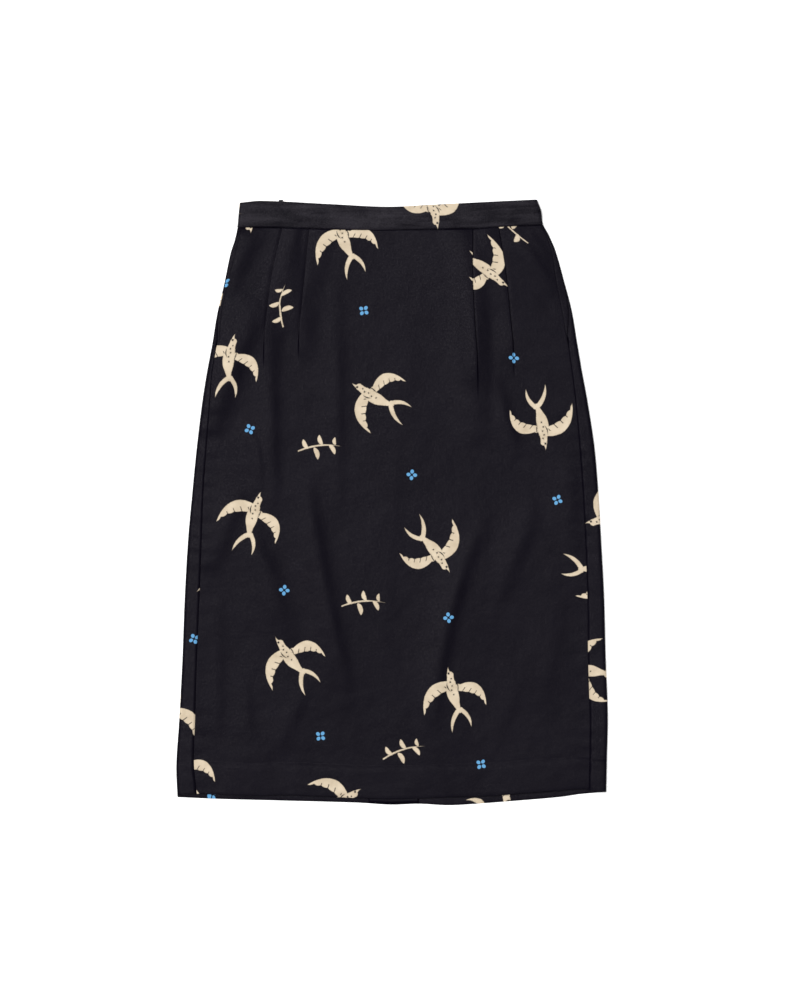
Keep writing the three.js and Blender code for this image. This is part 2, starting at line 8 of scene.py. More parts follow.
import bpy
import numpy as np
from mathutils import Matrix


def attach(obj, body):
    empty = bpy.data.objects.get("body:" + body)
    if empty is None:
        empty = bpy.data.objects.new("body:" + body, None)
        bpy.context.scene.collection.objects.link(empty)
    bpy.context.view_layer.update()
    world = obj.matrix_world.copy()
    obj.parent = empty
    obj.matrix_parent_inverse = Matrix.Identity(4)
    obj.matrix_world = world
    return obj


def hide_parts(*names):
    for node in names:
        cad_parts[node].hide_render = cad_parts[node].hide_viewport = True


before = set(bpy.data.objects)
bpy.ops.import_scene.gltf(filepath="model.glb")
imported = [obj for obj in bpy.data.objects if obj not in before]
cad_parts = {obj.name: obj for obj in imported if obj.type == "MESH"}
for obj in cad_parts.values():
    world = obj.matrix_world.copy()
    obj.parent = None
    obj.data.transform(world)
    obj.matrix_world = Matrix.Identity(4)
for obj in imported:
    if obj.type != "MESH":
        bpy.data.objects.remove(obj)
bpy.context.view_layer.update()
MM = 0.001

# Camera
# The photograph looks straight down on the skirt from well above it. One of its pixels is 1.175 mm of
# cloth, and the middle of the skirt lies at the pixel below.
PIXEL_MM = 1.175
SKIRT_MIDDLE_PX = (392.07, 502.25)
PHOTO_PX = (800, 1000)
CAMERA_HEIGHT = 8.0
SENSOR_MM = 36.0


def put_in_scene(name, data):
    made = bpy.data.objects.new(name, data)
    bpy.context.scene.collection.objects.link(made)
    return made


camera_data = bpy.data.cameras.new("camera")
camera_data.sensor_fit = "VERTICAL"
camera_data.sensor_height = SENSOR_MM
camera_data.lens = SENSOR_MM * CAMERA_HEIGHT / (PHOTO_PX[1] * PIXEL_MM * MM)
camera_data.clip_end = 5 * CAMERA_HEIGHT
camera = put_in_scene("camera", camera_data)
camera.location = (
    (PHOTO_PX[0] / 2 - SKIRT_MIDDLE_PX[0]) * PIXEL_MM * MM,
    (SKIRT_MIDDLE_PX[1] - PHOTO_PX[1] / 2) * PIXEL_MM * MM,
    CAMERA_HEIGHT,
)
bpy.context.scene.camera = camera

# Printed cloth
# A cotton sateen, dyed near-black and printed with flying birds and leaf sprigs in cream and small
# four-petalled blossoms in blue, all over in a half-drop repeat. Each piece is printed by its own cut:
# its UV map is its place on the flat cloth, in metres, so the print breaks at the seams and pleats.
GROUND = (0.0020, 0.0015, 0.0044, 1)
GROUND_WORN = (0.0048, 0.0040, 0.0078, 1)
BAND_GROUND_PAINTED_SHEEN = (0.0036, 0.0031, 0.0056, 1)  # the waistband's ground, painted lighter as the sheen of the light on its flat, raised face
BAND_WORN_PAINTED_SHEEN = (0.0235, 0.0212, 0.0272, 1)
SHEEN_TINT = (0.96, 0.90, 0.97, 1)
CREAM = (0.70, 0.59, 0.44, 1)
CREAM_SHADE = (0.52, 0.42, 0.295, 1)
BLUE = (0.122, 0.345, 0.605, 1)
WRONG_SIDE = (0.030, 0.028, 0.034, 1)


class Value:
    """A shader socket in arithmetic: each operator adds its Math node."""

    def __init__(self, shader, socket):
        self.shader = shader
        self.socket = socket

    def maths(self, operation, *others, clamp=False):
        settings = {"operation": operation, "use_clamp": clamp}
        return self.shader.node("ShaderNodeMath", settings, dict(enumerate(others)))

    def __add__(self, other):
        return self.maths("ADD", self, other)

    __radd__ = __add__

    def __mul__(self, other):
        return self.maths("MULTIPLY", self, other)

    __rmul__ = __mul__

    def __sub__(self, other):
        return self.maths("SUBTRACT", self, other)

    def __rsub__(self, other):
        return self.maths("SUBTRACT", other, self)

    def __neg__(self):
        return self * -1

    def __truediv__(self, other):
        return self.maths("DIVIDE", self, other)

    def size(self):
        return self.maths("ABSOLUTE", self)

    def floor(self):
        return self.maths("FLOOR", self)

    def whole_and_rest(self):
        whole = self.floor()
        return whole, self - whole

    def least(self, other):
        return self.maths("MINIMUM", self, other)

    def most(self, other):
        return self.maths("MAXIMUM", self, other)

    def sine(self):
        return self.maths("SINE", self)

    def cosine(self):
        return self.maths("COSINE", self)

    def root(self):
        return self.maths("SQRT", self)

    def angle_from(self, other):
        return self.maths("ARCTAN2", self, other)

    def clamped(self):
        return self.maths("MULTIPLY", self, 1, clamp=True)


class Shader:
    """A material being wired: its nodes are added by one method."""

    def __init__(self, name):
        self.material = bpy.data.materials.new(name)
        self.material.use_nodes = True
        self.tree = self.material.node_tree
        self.surface = self.tree.nodes["Principled BSDF"]

    def node(self, kind, settings=None, inputs=None, output=0):
        made = self.tree.nodes.new(kind)
        for name, setting in (settings or {}).items():
            setattr(made, name, setting)
        self.fill(made, inputs or {})
        return Value(self, made.outputs[output])

    def fill(self, made, inputs):
        for name, value in inputs.items():
            if isinstance(value, Value):
                self.tree.links.new(value.socket, made.inputs[name])
            else:
                made.inputs[name].default_value = value

    def finish(self, **inputs):
        self.fill(self.surface, {name.replace("_", " "): value for name, value in inputs.items()})
        return self.material

    def mix(self, factor, first, second):
        inputs = {0: factor, 6: first, 7: second}
        return self.node("ShaderNodeMix", {"data_type": "RGBA"}, inputs, output=2)

    def bump(self, strength, distance, height):
        inputs = {"Strength": strength, "Distance": distance, "Height": height}
        return self.node("ShaderNodeBump", {}, inputs)

    def place(self, coordinates="UV"):
        """The piece's UV map, or its Object coordinates, as three values."""
        made = self.tree.nodes.new("ShaderNodeTexCoord")
        split = self.tree.nodes.new("ShaderNodeSeparateXYZ")
        self.tree.links.new(made.outputs[coordinates], split.inputs[0])
        return [Value(self, output) for output in split.outputs], Value(self, made.outputs[coordinates])

    def noise(self, vector, scale, detail=2.0, roughness=0.5):
        inputs = {"Vector": vector, "Scale": scale, "Detail": detail, "Roughness": roughness}
        return self.node("ShaderNodeTexNoise", {"noise_dimensions": "3D"}, inputs)

    def chance(self, column, row, seed):
        """A number from 0 to 1 that is fixed for each cell of the repeat."""
        vector = self.node("ShaderNodeCombineXYZ", {}, {0: column, 1: row, 2: seed})
        return self.node("ShaderNodeTexWhiteNoise", {"noise_dimensions": "3D"}, {"Vector": vector})

    def profile(self, along, widths):
        """A width in millimetres along a stroke, drawn through its (share, width) pairs."""
        made = self.tree.nodes.new("ShaderNodeFloatCurve")
        line = made.mapping.curves[0]
        scale = max(width for _, width in widths) + 1
        for index, (share, width) in enumerate(widths):
            if index < 2:
                line.points[index].location = (share, (width + 1) / (scale + 1))
            else:
                line.points.new(share, (width + 1) / (scale + 1))
        made.mapping.update()
        self.fill(made, {"Value": along})
        return Value(self, made.outputs[0]) * (scale + 1) - 1

    def stroke(self, x, y, start, end, bow, widths):
        """How far inside a bowed brush stroke a point lies, its share along it and its place across."""
        reach = math.dist(start, end)
        right, up = (end[0] - start[0]) / reach, (end[1] - start[1]) / reach
        from_x, from_y = x - start[0], y - start[1]
        along = (from_x * right + from_y * up) / reach
        share = along.clamped()
        across = from_y * right - from_x * up - share * (1 - share) * (4 * bow)
        beyond = (along - share) * reach
        off_line = (across * across + beyond * beyond).root()
        return self.profile(share, widths) - off_line, share, across


# One repeat of the print has a bird in each cell, a blossom half a cell above it and a sprig between
# columns. Each motif is moved by chance in its cell, in millimetres, and turned by chance, in radians.
REPEAT = (172, 184)
REPEAT_START = (-REPEAT[0] * 0.36, 34)
LEAN = 0.27  # of the repeat's columns, in radians
BIRD_CHANCE = dict(seed=3.0, spin=(-1.9, 2.3), jitter=(30, 26))
BLOSSOM_CHANCE = dict(seed=23.0, spin=(0, 1.5), jitter=(24, 20))
SPRIG_CHANCE = dict(seed=11.0, spin=(-0.9, 1.6), jitter=(8, 12))


def lattice(shader, x, y, pitch, drop, shift, seed, spin, jitter):
    """A motif's own coordinates in each cell of a half-drop repeat, moved and turned there by chance."""
    x, y = x * math.cos(LEAN) + y * math.sin(LEAN), y * math.cos(LEAN) - x * math.sin(LEAN)
    column, across = ((x - shift[0]) / pitch[0]).whole_and_rest()
    row, up = ((y - shift[1]) / pitch[1] + column * drop).whole_and_rest()
    chance = shader.chance(column, row, seed)
    other = shader.chance(column, row, seed + 7.5)
    local_x = (across - 0.5) * pitch[0] + (other - 0.5) * jitter[0]
    local_y = (up - 0.5) * pitch[1] + (chance - 0.5) * jitter[1]
    angle = spin[0] + shader.chance(column, row, seed + 3.25) * (spin[1] - spin[0])
    turned_x = local_x * angle.cosine() + local_y * angle.sine()
    turned_y = local_y * angle.cosine() - local_x * angle.sine()
    return turned_x, turned_y


# Each stroke has its start and end, in millimetres of cloth, its bow to the left and its half-widths at
# shares of its length.
BIRD_BODY = (
    (-24, -4), (25, 5), 3, ((0, 1.6), (0.2, 4.2), (0.5, 7.6), (0.74, 6.6), (0.9, 4.6), (1, 4.4)),
)
BIRD_BEAK = ((27, 6), (37, 6.5), 1, ((0, 2.6), (0.4, 1.2), (1, -0.4)))
BIRD_WINGS = (
    ((13, 3), (-27, 43), -12, ((0, 5.0), (0.25, 8.2), (0.5, 7.0), (0.8, 3.6), (1, -0.8))),
    ((8, -4), (-20, -39), 11, ((0, 4.6), (0.25, 7.6), (0.5, 6.4), (0.8, 3.2), (1, -0.8))),
)
BIRD_TAIL = (
    ((-21, -3), (-53, 8), -4, ((0, 3.4), (0.35, 2.8), (0.75, 1.3), (1, -0.8))),
    ((-21, -5), (-47, -17), 4, ((0, 3.2), (0.35, 2.6), (0.75, 1.2), (1, -0.8))),
)
BIRD_LINES = (
    ((17, -1.5), (1, -2.5), 2, ((0, -0.6), (0.5, 0.5), (1, -0.6))),
    ((16, 10), (3, 5.5), -2, ((0, -0.6), (0.5, 0.55), (1, -0.5))),
)
BIRD_DOTS = (  # the eye, then marks down the back, each with its middle and half-width
    (27.0, 7.0, 1.1), (20.0, 4.0, 0.7), (15.5, 5.6, 0.8),
    (10.5, 3.6, 0.7), (5.0, 4.6, 0.8), (-1.0, 2.4, 0.7),
)
FEATHERS = 6
FEATHER_EDGE = 4.2  # how quickly a feather widens from the line that parts it from the next
FEATHER_PARTING = 0.55
FEATHER_ROOT = (1.6, 1.4)  # the partings start this far from the wing's middle line
FEATHER_NOTCH = 2.2
BIRD_SIZE = 0.9  # of the strokes above
SPRIG_STEM = ((-25, -6), (25, 7), 4, ((0, 0.9), (0.5, 1.0), (1, -0.2)))
SPRIG_LEAVES = (
    ((-14, -2), (-22, 9), 1.5, ((0, -0.3), (0.45, 2.6), (1, -0.6))),
    ((-8, 1), (-1, -13), 1.5, ((0, -0.3), (0.45, 2.8), (1, -0.6))),
    ((2, 5), (-4, 17), 1.5, ((0, -0.3), (0.45, 2.6), (1, -0.6))),
    ((9, 7), (18, -4), 1.5, ((0, -0.3), (0.45, 2.6), (1, -0.6))),
    ((17, 7), (15, 17), 1.5, ((0, -0.3), (0.45, 2.1), (1, -0.6))),
)


def birds(shader, x, y):
    """Swallows in flight, drawn with a loaded brush: how far inside the paint a point lies."""
    x, y = lattice(shader, x, y, REPEAT, 0.5, REPEAT_START, **BIRD_CHANCE)
    x, y = x / BIRD_SIZE, y / BIRD_SIZE
    depth, _, _ = shader.stroke(x, y, *BIRD_BODY)
    for wanted in (BIRD_BEAK, *BIRD_TAIL):
        depth = depth.most(shader.stroke(x, y, *wanted)[0])
    for wing in BIRD_WINGS:
        inside, share, across = shader.stroke(x, y, *wing)
        behind = across * (1 if wing[2] < 0 else -1)
        between = (share * (math.pi * FEATHERS)).sine().size()
        at_root = FEATHER_ROOT[0] - behind * FEATHER_ROOT[1]
        parting = (between * FEATHER_EDGE - FEATHER_PARTING).most(at_root)
        notched = inside - (1 - between) * behind.clamped() * share * FEATHER_NOTCH
        depth = depth.most(notched.least(parting))
    for line in BIRD_LINES:
        depth = depth.least(-shader.stroke(x, y, *line)[0])
    for dot_x, dot_y, radius in BIRD_DOTS:
        off = (x - dot_x).size().most((y - dot_y).size())
        depth = depth.least(off - radius)
    return depth


def sprigs(shader, x, y):
    """Leaf sprigs drawn with a fine brush."""
    pitch = (REPEAT[0] * 2, REPEAT[1])
    shift = (REPEAT_START[0] - REPEAT[0], REPEAT_START[1] - REPEAT[1] * 0.25)
    x, y = lattice(shader, x, y, pitch, 0, shift, **SPRIG_CHANCE)
    depth, _, _ = shader.stroke(x, y, *SPRIG_STEM)
    for leaf in SPRIG_LEAVES:
        depth = depth.most(shader.stroke(x, y, *leaf)[0])
    return depth


BLOSSOM_RADIUS = 6.2
BLOSSOM_EYE = 1.2
PETAL_TIP = 1.3  # rounds the petals' tips
PETAL_FOOT = 1.6
PETAL_PARTING = 0.8


def blossoms(shader, x, y):
    """Small four-petalled blossoms, parted by thin lines of the ground."""
    shift = (REPEAT_START[0], REPEAT_START[1] + REPEAT[1] / 2)
    x, y = lattice(shader, x, y, REPEAT, 0.5, shift, **BLOSSOM_CHANCE)
    radius = (x * x + y * y).root()
    lobe = (y.angle_from(x) * 2).cosine().size()
    petal = lobe * BLOSSOM_RADIUS - lobe * lobe * PETAL_TIP + PETAL_FOOT - radius
    return petal.least(radius - BLOSSOM_EYE).least(lobe * radius - PETAL_PARTING)


# How far the weave's ridges turn in each millimetre, in radians: the slanting ones and the level ones.
TWILL = (9.0, 3.0)
WEFT = 14.0
# How many times each kind of unevenness repeats, on the whole, in a metre of cloth.
FIBRES = 900
FLECKS = 640
SLUBS = 430
RIPPLES = (52, 19)
MOTTLES = 46
WEAR = 9
BRUSH_EDGE = 260
DRY_BRUSH = 620
INK_TONES = 75
STREAKS = (15, 130)  # of the pressed band, along and across it
# Depths, in metres, and how strongly each kind shows.
UNEVEN = 0.0007  # cloth that has been worn and pressed
WEAVE_DEPTH = 0.00003
SLUB_DEPTH = 0.00008  # the coarser threads
GRAIN = 0.55  # the weave's grain in the ground, of the way to its worn colour
PAINTED_SHEEN_MIDDLE = 30  # where the band's painted highlight is lightest, and how far that reaches to each side
PAINTED_SHEEN_REACH = 85
SATEEN_ROUGHNESS = 0.40
PAINT_ROUGHER = 0.2
SPARKLE = 0.7  # how much the sateen's gloss changes from thread to thread
SATEEN_SHEEN = 0.046
WRONG_SIDE_ROUGHNESS = 0.85


def printed_cloth(name, ground=(GROUND, GROUND_WORN), uneven=UNEVEN, wrong_side=False, streaks_and_sheen=0):
    """The sateen's face with its print, or its dull wrong side."""
    shader = Shader(name)
    (u, v, _), uv = shader.place()
    x = u / MM
    y = v / MM
    fibre = shader.noise(uv, FIBRES, 2.0)
    wobble = (shader.noise(uv, BRUSH_EDGE, 3.0) - 0.5) * 1.5
    wear = shader.noise(uv, WEAR, 3.0, 0.6)
    thread_across = (x * TWILL[0] + y * TWILL[1]).sine()
    thread_up = (y * WEFT).sine()
    weave = thread_across * 0.5 + thread_up * 0.3 + fibre
    ripple = shader.noise(uv, RIPPLES[0], 2.0) + shader.noise(uv, RIPPLES[1], 1.0) * 2
    slub = shader.noise(uv, SLUBS, 1.0)
    unevenness = ripple * uneven + slub * SLUB_DEPTH
    if wrong_side:
        colour = shader.mix(wear, WRONG_SIDE, GROUND_WORN)
        roughness = WRONG_SIDE_ROUGHNESS
    else:
        grain = (shader.noise(uv, FLECKS, 1.0) - 0.5) * 2.4 + (shader.noise(uv, MOTTLES, 3.0) - 0.5) * 1.4
        stretched = shader.node("ShaderNodeCombineXYZ", {}, {0: u * STREAKS[0], 1: v * STREAKS[1], 2: 0.0})
        # A painted highlight across the band's middle stands in for the sheen of the light there; the
        # streaks beside it are the cloth's own.
        from_middle = (x - PAINTED_SHEEN_MIDDLE) / PAINTED_SHEEN_REACH
        painted_sheen = (1 - from_middle * from_middle).clamped() * 0.5 - 0.2
        grain = grain * GRAIN + (shader.noise(stretched, 1.0, 3.0) - 0.5 + painted_sheen * 0.2) * streaks_and_sheen
        ground = shader.mix(((wear - 0.5) * 1.3 + 0.35 + grain).clamped(), *ground)
        cream_depth = birds(shader, x, y).most(sprigs(shader, x, y))
        dry = (shader.noise(uv, DRY_BRUSH, 3.0, 0.7) - 0.42) * 5
        cream = ((cream_depth + wobble * 0.45) * 1.6 + 0.4).clamped()
        solid_ink = ((cream_depth + wobble) * 0.55 + dry).clamped()
        ink = shader.mix((shader.noise(uv, INK_TONES, 3.0) * 1.8 - 0.55).clamped(), CREAM, CREAM_SHADE)
        colour = shader.mix(cream * (solid_ink * 0.35 + 0.65), ground, ink)
        blue = ((blossoms(shader, x, y) + wobble * 0.2) * 1.8).clamped()
        colour = shader.mix(blue, colour, BLUE)
        threads = fibre * 0.4 + slub * 0.6 - 0.5
        roughness = SATEEN_ROUGHNESS + cream * PAINT_ROUGHER + threads * SPARKLE
    return shader.finish(
        Base_Color=colour,
        Roughness=roughness,
        Normal=shader.bump(1.0, 1.0, weave * WEAVE_DEPTH + unevenness),
        Specular_IOR_Level=SATEEN_SHEEN,
        Specular_Tint=SHEEN_TINT,
    )


face = printed_cloth("printed_sateen_face")
# The waistband's face: the same sateen, its ground painted lighter and a painted highlight across its
# middle, for the sheen of the light on it.
band_face_painted_sheen = printed_cloth(
    "printed_sateen_band_painted_sheen",
    ground=(BAND_GROUND_PAINTED_SHEEN, BAND_WORN_PAINTED_SHEEN),
    uneven=UNEVEN * 2,
    streaks_and_sheen=2.2,
)
wrong = printed_cloth("printed_sateen_wrong_side", wrong_side=True)

PLAIN_FIBRES = 700
PLAIN_WEAVE_DEPTH = 0.00015
PLAIN_SHEEN = 0.25
THREADS_LIGHTER = 1.9  # the lightest threads of a plain cloth, beside its dye


def plain_cloth(name, colour, pitch_mm, roughness=0.8):
    """A plain-woven cloth or tape of one dye, its threads showing as a fine grid."""
    shader = Shader(name)
    (u, v, _), uv = shader.place()
    turns = 2 * math.pi / (pitch_mm * MM)
    weave = (u * turns).sine() * 0.5 + (v * turns).sine() * 0.5
    fibre = shader.noise(uv, PLAIN_FIBRES, 2.0)
    lighter = tuple(channel * THREADS_LIGHTER for channel in colour[:3]) + (1,)
    return shader.finish(
        Base_Color=shader.mix((fibre * 0.8 + weave * 0.15).clamped(), colour, lighter),
        Roughness=roughness + (fibre - 0.5) * 0.15,
        Normal=shader.bump(0.35, PLAIN_WEAVE_DEPTH, weave + fibre),
        Specular_IOR_Level=PLAIN_SHEEN,
    )


# Front
# The front is one width of the printed cloth, laid into two knife pleats on each side at the band. Each
# fold faces outwards, is pressed at the band and opens out flat over the hip. The foot is turned up 38 mm
# inside and blind stitched.
CLOTH = 0.5
SOLID_WALL = 1.0  # the wall that the frame's solids give one layer
INNER_ROOM = 3.6  # between the front and the back
SIDE_ROUND = 4.0  # how far in from the side the cloth still rounds over
LAYER_PITCH = 0.9  # between the layers of a pressed pleat
OPEN_SWELL = 1.3  # how much an opening pleat springs up
LEAST_BETWEEN = 0.8  # cloth between a pleat's two turns, at least
LEAST_ANGLE = math.radians(2)
SHOWN_ANGLE = math.radians(36)  # a pleat that is turned less than this is also pressed out
PLEAT_EASING = 1.7  # over 1, a pleat opens quickly at first and then slowly
PLEAT_PLACES = (0, 0.55, 1.25)  # where its edge is given, in shares of the way down to where it opens
HEM_DEPTH = 38
HEM_TURN = 0.55
PANEL_BOTTOM = -345
PANEL_TOP = 321
SEAM_GAP = 0.04
FRONT_TOP_FACE = 2 * SOLID_WALL + INNER_ROOM
FRONT_LEVEL = FRONT_TOP_FACE - CLOTH / 2
BACK_LEVEL = CLOTH / 2
SUNK_LEVEL = FRONT_LEVEL - 1.0  # of the back's edge, inside a pocket's mouth


def table(columns, *rows):
    names = columns.split()
    return {name: np.array([row[place] for row in rows], float) for place, name in enumerate(names)}


SECTIONS = table(
    "y left right left_wrap right_wrap",
    (-345, 251.9, 251.4, 22.6, 20.6),
    (-309, 253.2, 252.1, 20.6, 20.3),
    (-256, 249.8, 253.2, 18.6, 21.2),
    (-186, 246.1, 250.7, 17.0, 20.6),
    (-115, 243.4, 248.8, 17.3, 19.5),
    (-45, 239.4, 245.1, 16.0, 18.6),
    (8, 234.6, 242.0, 13.0, 18.3),
    (61, 229.4, 237.4, 11.5, 17.6),
    (114, 223.0, 229.3, 9.3, 14.3),
    (149, 217.6, 222.8, 6.5, 12.0),
    (184, 211.0, 216.9, 5.0, 10.5),
    (220, 205.1, 210.9, 0.8, 3.5),
    (255, 196.9, 201.8, 0, 0),
    (290, 189.6, 191.9, 0, 0),
    (308, 184.0, 184.4, 0, 0),
    (323, 180.9, 176.6, 0, 0),
    (340, 179.4, 174.4, 0, 0),
    (355, 178.1, 169.1, 0, 0),
)
BAND_TOP = table(
    "x y",
    (-178, 351.6), (-153, 353.7), (-68, 349.6), (-5, 346.7), (45, 349.0), (129, 353.3), (169, 355.2),
)
BAND_SEAM = table(
    "x y",
    (-180, 322.8), (-130, 322.2), (-52, 319.9), (2, 319.9), (96, 321.1), (127, 323.4), (175, 325.8),
)
FRONT_HEM = table(
    "x y",
    (-251, -344.0), (-230, -342.0), (-159, -345.2), (-134, -343.6), (-69, -345.9), (-4, -348.2),
    (69, -346.1), (117, -344.6), (156, -341.4), (195, -338.8), (224, -336.9), (240, -340.1),
    (251, -340.1),
)
BACK_HEM = table(
    "x y",
    (-249, -346.3), (-203, -348.3), (-134, -350.1), (-40, -352.7), (-2, -355.0), (32, -354.0),
    (64, -355.7), (87, -354.8), (156, -349.6), (200, -345.7), (220, -342.7), (251, -340.1),
)
PLEATS = {
    "left": (
        dict(at_band=129.0, at_middle=141.5, at_end=149.8, depth=14, opens=222, fades=134),
        dict(at_band=97.6, at_middle=102.6, at_end=109.0, depth=12, opens=226, fades=146),
    ),
    "right": (
        dict(at_band=125.0, at_middle=134.0, at_end=141.5, depth=13, opens=214, fades=128),
        dict(at_band=94.6, at_middle=94.8, at_end=99.6, depth=16, opens=202, fades=104),
    ),
}
# The folds of the front: the upper and lower end of each one's steep side, which falls away to the
# right, how far that bows to the right on the way, its width and the fold's height.
FRONT_FOLDS = table(
    "from_x from_y to_x to_y bow width height",
    (-96, 34, -42, -248, -3, 7.5, 4.2),
    (118, -10, 54, -282, -15, 6.5, 3.8),
    (174, 6, 124, -124, 5, 8.0, 2.4),
    (-166, -6, -110, -164, 0, 11, 3.8),
    (-166, 26, -212, -92, 0, 9.0, 3.4),
    (-172, 102, -152, 12, 7, 5.0, 2.2),
    (-139, 204, -134, -18, 0, 7.0, 3.4),
    (-61, 272, -59, -20, 1, 6.0, 1.8),
    (-146, 330, -188, 236, -4, 10, 4.4),
    (-146, 236, -208, 70, -3, 11, 5.6),
    (-108, 312, -112, 190, 0, 9.0, 2.2),
    (106, 352, 109, 60, 0, 11, 5.2),
    (126, 154, 157, 52, -3, 6.0, 2.2),
    (142, 322, 195, 244, 5, 6.0, 2.4),
    (160, 318, 190, 284, 2, 4.0, 1.0),
    (-202, -110, -202, -288, 2, 6.0, 1.3),
    (-174, -194, -163, -286, 3, 5.0, 1.2),
    (-94, -208, -131, -298, 2, 6.0, 1.4),
    (208, 64, 214, -74, 3, 6.0, 0.9),
    (200, -116, 176, -252, 4, 8.0, 0.9),
    (12, 60, 2, -150, -5, 9.0, 0.8),
    (-20, -130, 26, -280, 5, 8.0, 0.8),
    (60, 306, 70, 236, -2, 6.0, 0.7),
    (-44, 314, -50, 262, 2, 6.0, 0.7),
    (156, -196, 118, -296, 4, 7.0, 0.9),
)
SEWN_BELOW = 178
MOUTH_BOTTOM = 186
MOUTH_TOP = 304
SEWN_ABOVE = 312
MOUTH_STITCH = table(  # how far inside the outline each pocket's topstitching runs
    "y left right",
    (192, 7.4, 11.0), (208, 5.8, 10.9), (234, 4.4, 10.3), (259, 4.6, 8.2), (286, 5.4, 4.7),
    (308, 5.0, 2.6),
)
STITCH_SINK = 0.22
STITCH_SINK_WIDTH = 0.7
STITCH_COLUMNS = (-2.4, -1.4, -0.8, -0.3, 0.3, 0.8, 1.4, 2.4)  # of points beside the topstitching
MOUTH_TUCK = 7
TUCK = 4  # how far the back goes in under the front at an open mouth
MOUTH_LIFT = 0.7  # how far the front's edge stands up there, of its droop elsewhere
MOUTH_GAP = 1.1  # between the mouth's edge and the back, when the mouth is open


def smooth(rows, along, column):
    """A smooth curve through one column of a table, along another."""
    places, values = rows[along], rows[column]
    after = np.r_[places[1:], places[-1]] - np.r_[places[0], places[:-1]]
    slopes = (np.r_[values[1:], values[-1]] - np.r_[values[0], values[:-1]]) / after

    def at(place):
        place = np.clip(place, places[0], places[-1])
        k = np.clip(np.searchsorted(places, place) - 1, 0, len(places) - 2)
        span = places[k + 1] - places[k]
        t = (place - places[k]) / span
        step = values[k] + (values[k + 1] - values[k]) * t * t * (3 - 2 * t)
        return step + t * (1 - t) * span * ((1 - t) * slopes[k] - t * slopes[k + 1])

    return at


def mixed(first, last, share):
    return first + (last - first) * share


def ramp(value, start, end):
    return np.clip((value - start) / (end - start), 0, 1)


def eased(value, start, end):
    share = ramp(value, start, end)
    return share * share * (3 - 2 * share)


band_top = smooth(BAND_TOP, "x", "y")
band_seam = smooth(BAND_SEAM, "x", "y")
front_hem = smooth(FRONT_HEM, "x", "y")
back_hem = smooth(BACK_HEM, "x", "y")
SIDES = {
    side: dict(
        sign=sign,
        reach=smooth(SECTIONS, "y", side),
        wrap=smooth(SECTIONS, "y", f"{side}_wrap"),
        stitch=smooth(MOUTH_STITCH, "y", side),
    )
    for side, sign in (("left", -1), ("right", 1))
}


def mouth_open(y):
    return ramp(y, SEWN_BELOW, MOUTH_BOTTOM) * (1 - ramp(y, MOUTH_TOP, SEWN_ABOVE))


def mouth_tuck(y):
    going_in = ramp(y, MOUTH_BOTTOM, MOUTH_BOTTOM + MOUTH_TUCK)
    return TUCK * going_in * (1 - ramp(y, MOUTH_TOP - MOUTH_TUCK, MOUTH_TOP))


def side_height(inside, low, high):
    across = 1 - np.minimum(inside, SIDE_ROUND) / SIDE_ROUND
    return (low + high) / 2 + (high - low) / 2 * np.sqrt(1 - across * across)


HIGH_SIDE = 3.0  # how far the high side of a fold reaches, in widths of its steep side
FOLD_TAPER = 0.8  # under 1, a fold keeps its height for more of its length


def folds(rows, x, y):
    """Rise of the cloth from a table of soft folds, each with a steep side and a long gentle one."""
    rise = np.zeros(np.broadcast(x, y).shape)
    for from_x, from_y, to_x, to_y, bow, width, height in zip(*rows.values()):
        along_x, along_y = to_x - from_x, to_y - from_y
        length = math.hypot(along_x, along_y)
        t = np.clip(((x - from_x) * along_x + (y - from_y) * along_y) / length**2, 0, 1)
        beside = ((y - from_y) * along_x - (x - from_x) * along_y) / length - 4 * bow * t * (1 - t)
        down = beside / width
        steep = 0.5 * (1 - np.tanh(down)) * np.exp(-((np.minimum(down, 0) / HIGH_SIDE) ** 2))
        rise += height * np.sin(math.pi * t) ** FOLD_TAPER * steep
    return rise


PUCKER_PITCH = 21
PUCKER_REACH = 16
PUCKER_HEIGHT = 0.4
DRAW_PITCH = 13


def seam_draw(y):
    """How hard the seam's thread pulls along a side seam, which is a little uneven."""
    return 0.62 + 0.38 * np.sin(2 * math.pi * y / DRAW_PITCH + 1.5 * np.sin(y / 41))


def seam_puckers(x, y, inside):
    """Short uneven creases that run in from a side seam, where its thread draws the cloth up."""
    sway = 5 * np.sin(y / 37) + 3 * np.sin(y / 13.7 + x / 90)
    wave = np.sin(2 * math.pi * (y + sway) / PUCKER_PITCH) * (0.55 + 0.45 * np.sin(y / 61 + 1.3))
    return PUCKER_HEIGHT * wave * np.exp(-((inside / PUCKER_REACH) ** 2))


def ease_of_cloth(x, y):
    """The slight unevenness of cloth that has been smoothed out by hand."""
    return (
        0.22 * np.sin(x / 31 + 1.7 * np.sin(y / 83))
        + 0.18 * np.sin(x / 17.3 - y / 96 + 2.1)
        + 0.14 * np.sin(y / 44 + x / 71)
    )


def pleat_at(pleat, y):
    """How a pleat lies at one height: its turn's angle, radius, cloth between, width, rise and end."""
    down = (PANEL_TOP - y) / (PANEL_TOP - pleat["opens"])
    edges = (pleat["at_band"], pleat["at_middle"], pleat["at_end"])
    edge = smooth(table("down edge", *zip(PLEAT_PLACES, edges)), "down", "edge")(down)
    closed = 1 - ramp(-y, -pleat["opens"], -pleat["fades"])
    angle = max(math.pi * closed**PLEAT_EASING, LEAST_ANGLE)
    folded = angle / math.pi
    turns = 2 * LAYER_PITCH * folded * (1 + OPEN_SWELL * (1 - folded))
    radius = turns / (2 * (1 - math.cos(angle)))
    between = max(pleat["depth"] * (1 - down), LEAST_BETWEEN)
    width = 2 * radius * math.sin(angle) + between * math.cos(angle)
    rise = turns + between * math.sin(angle)
    return dict(
        angle=angle,
        folded=folded,
        radius=radius,
        between=between,
        width=width,
        rise=rise,
        edge=-edge,
        end=-edge + radius * folded,
        shown=float(ramp(angle, LEAST_ANGLE, SHOWN_ANGLE)),
    )


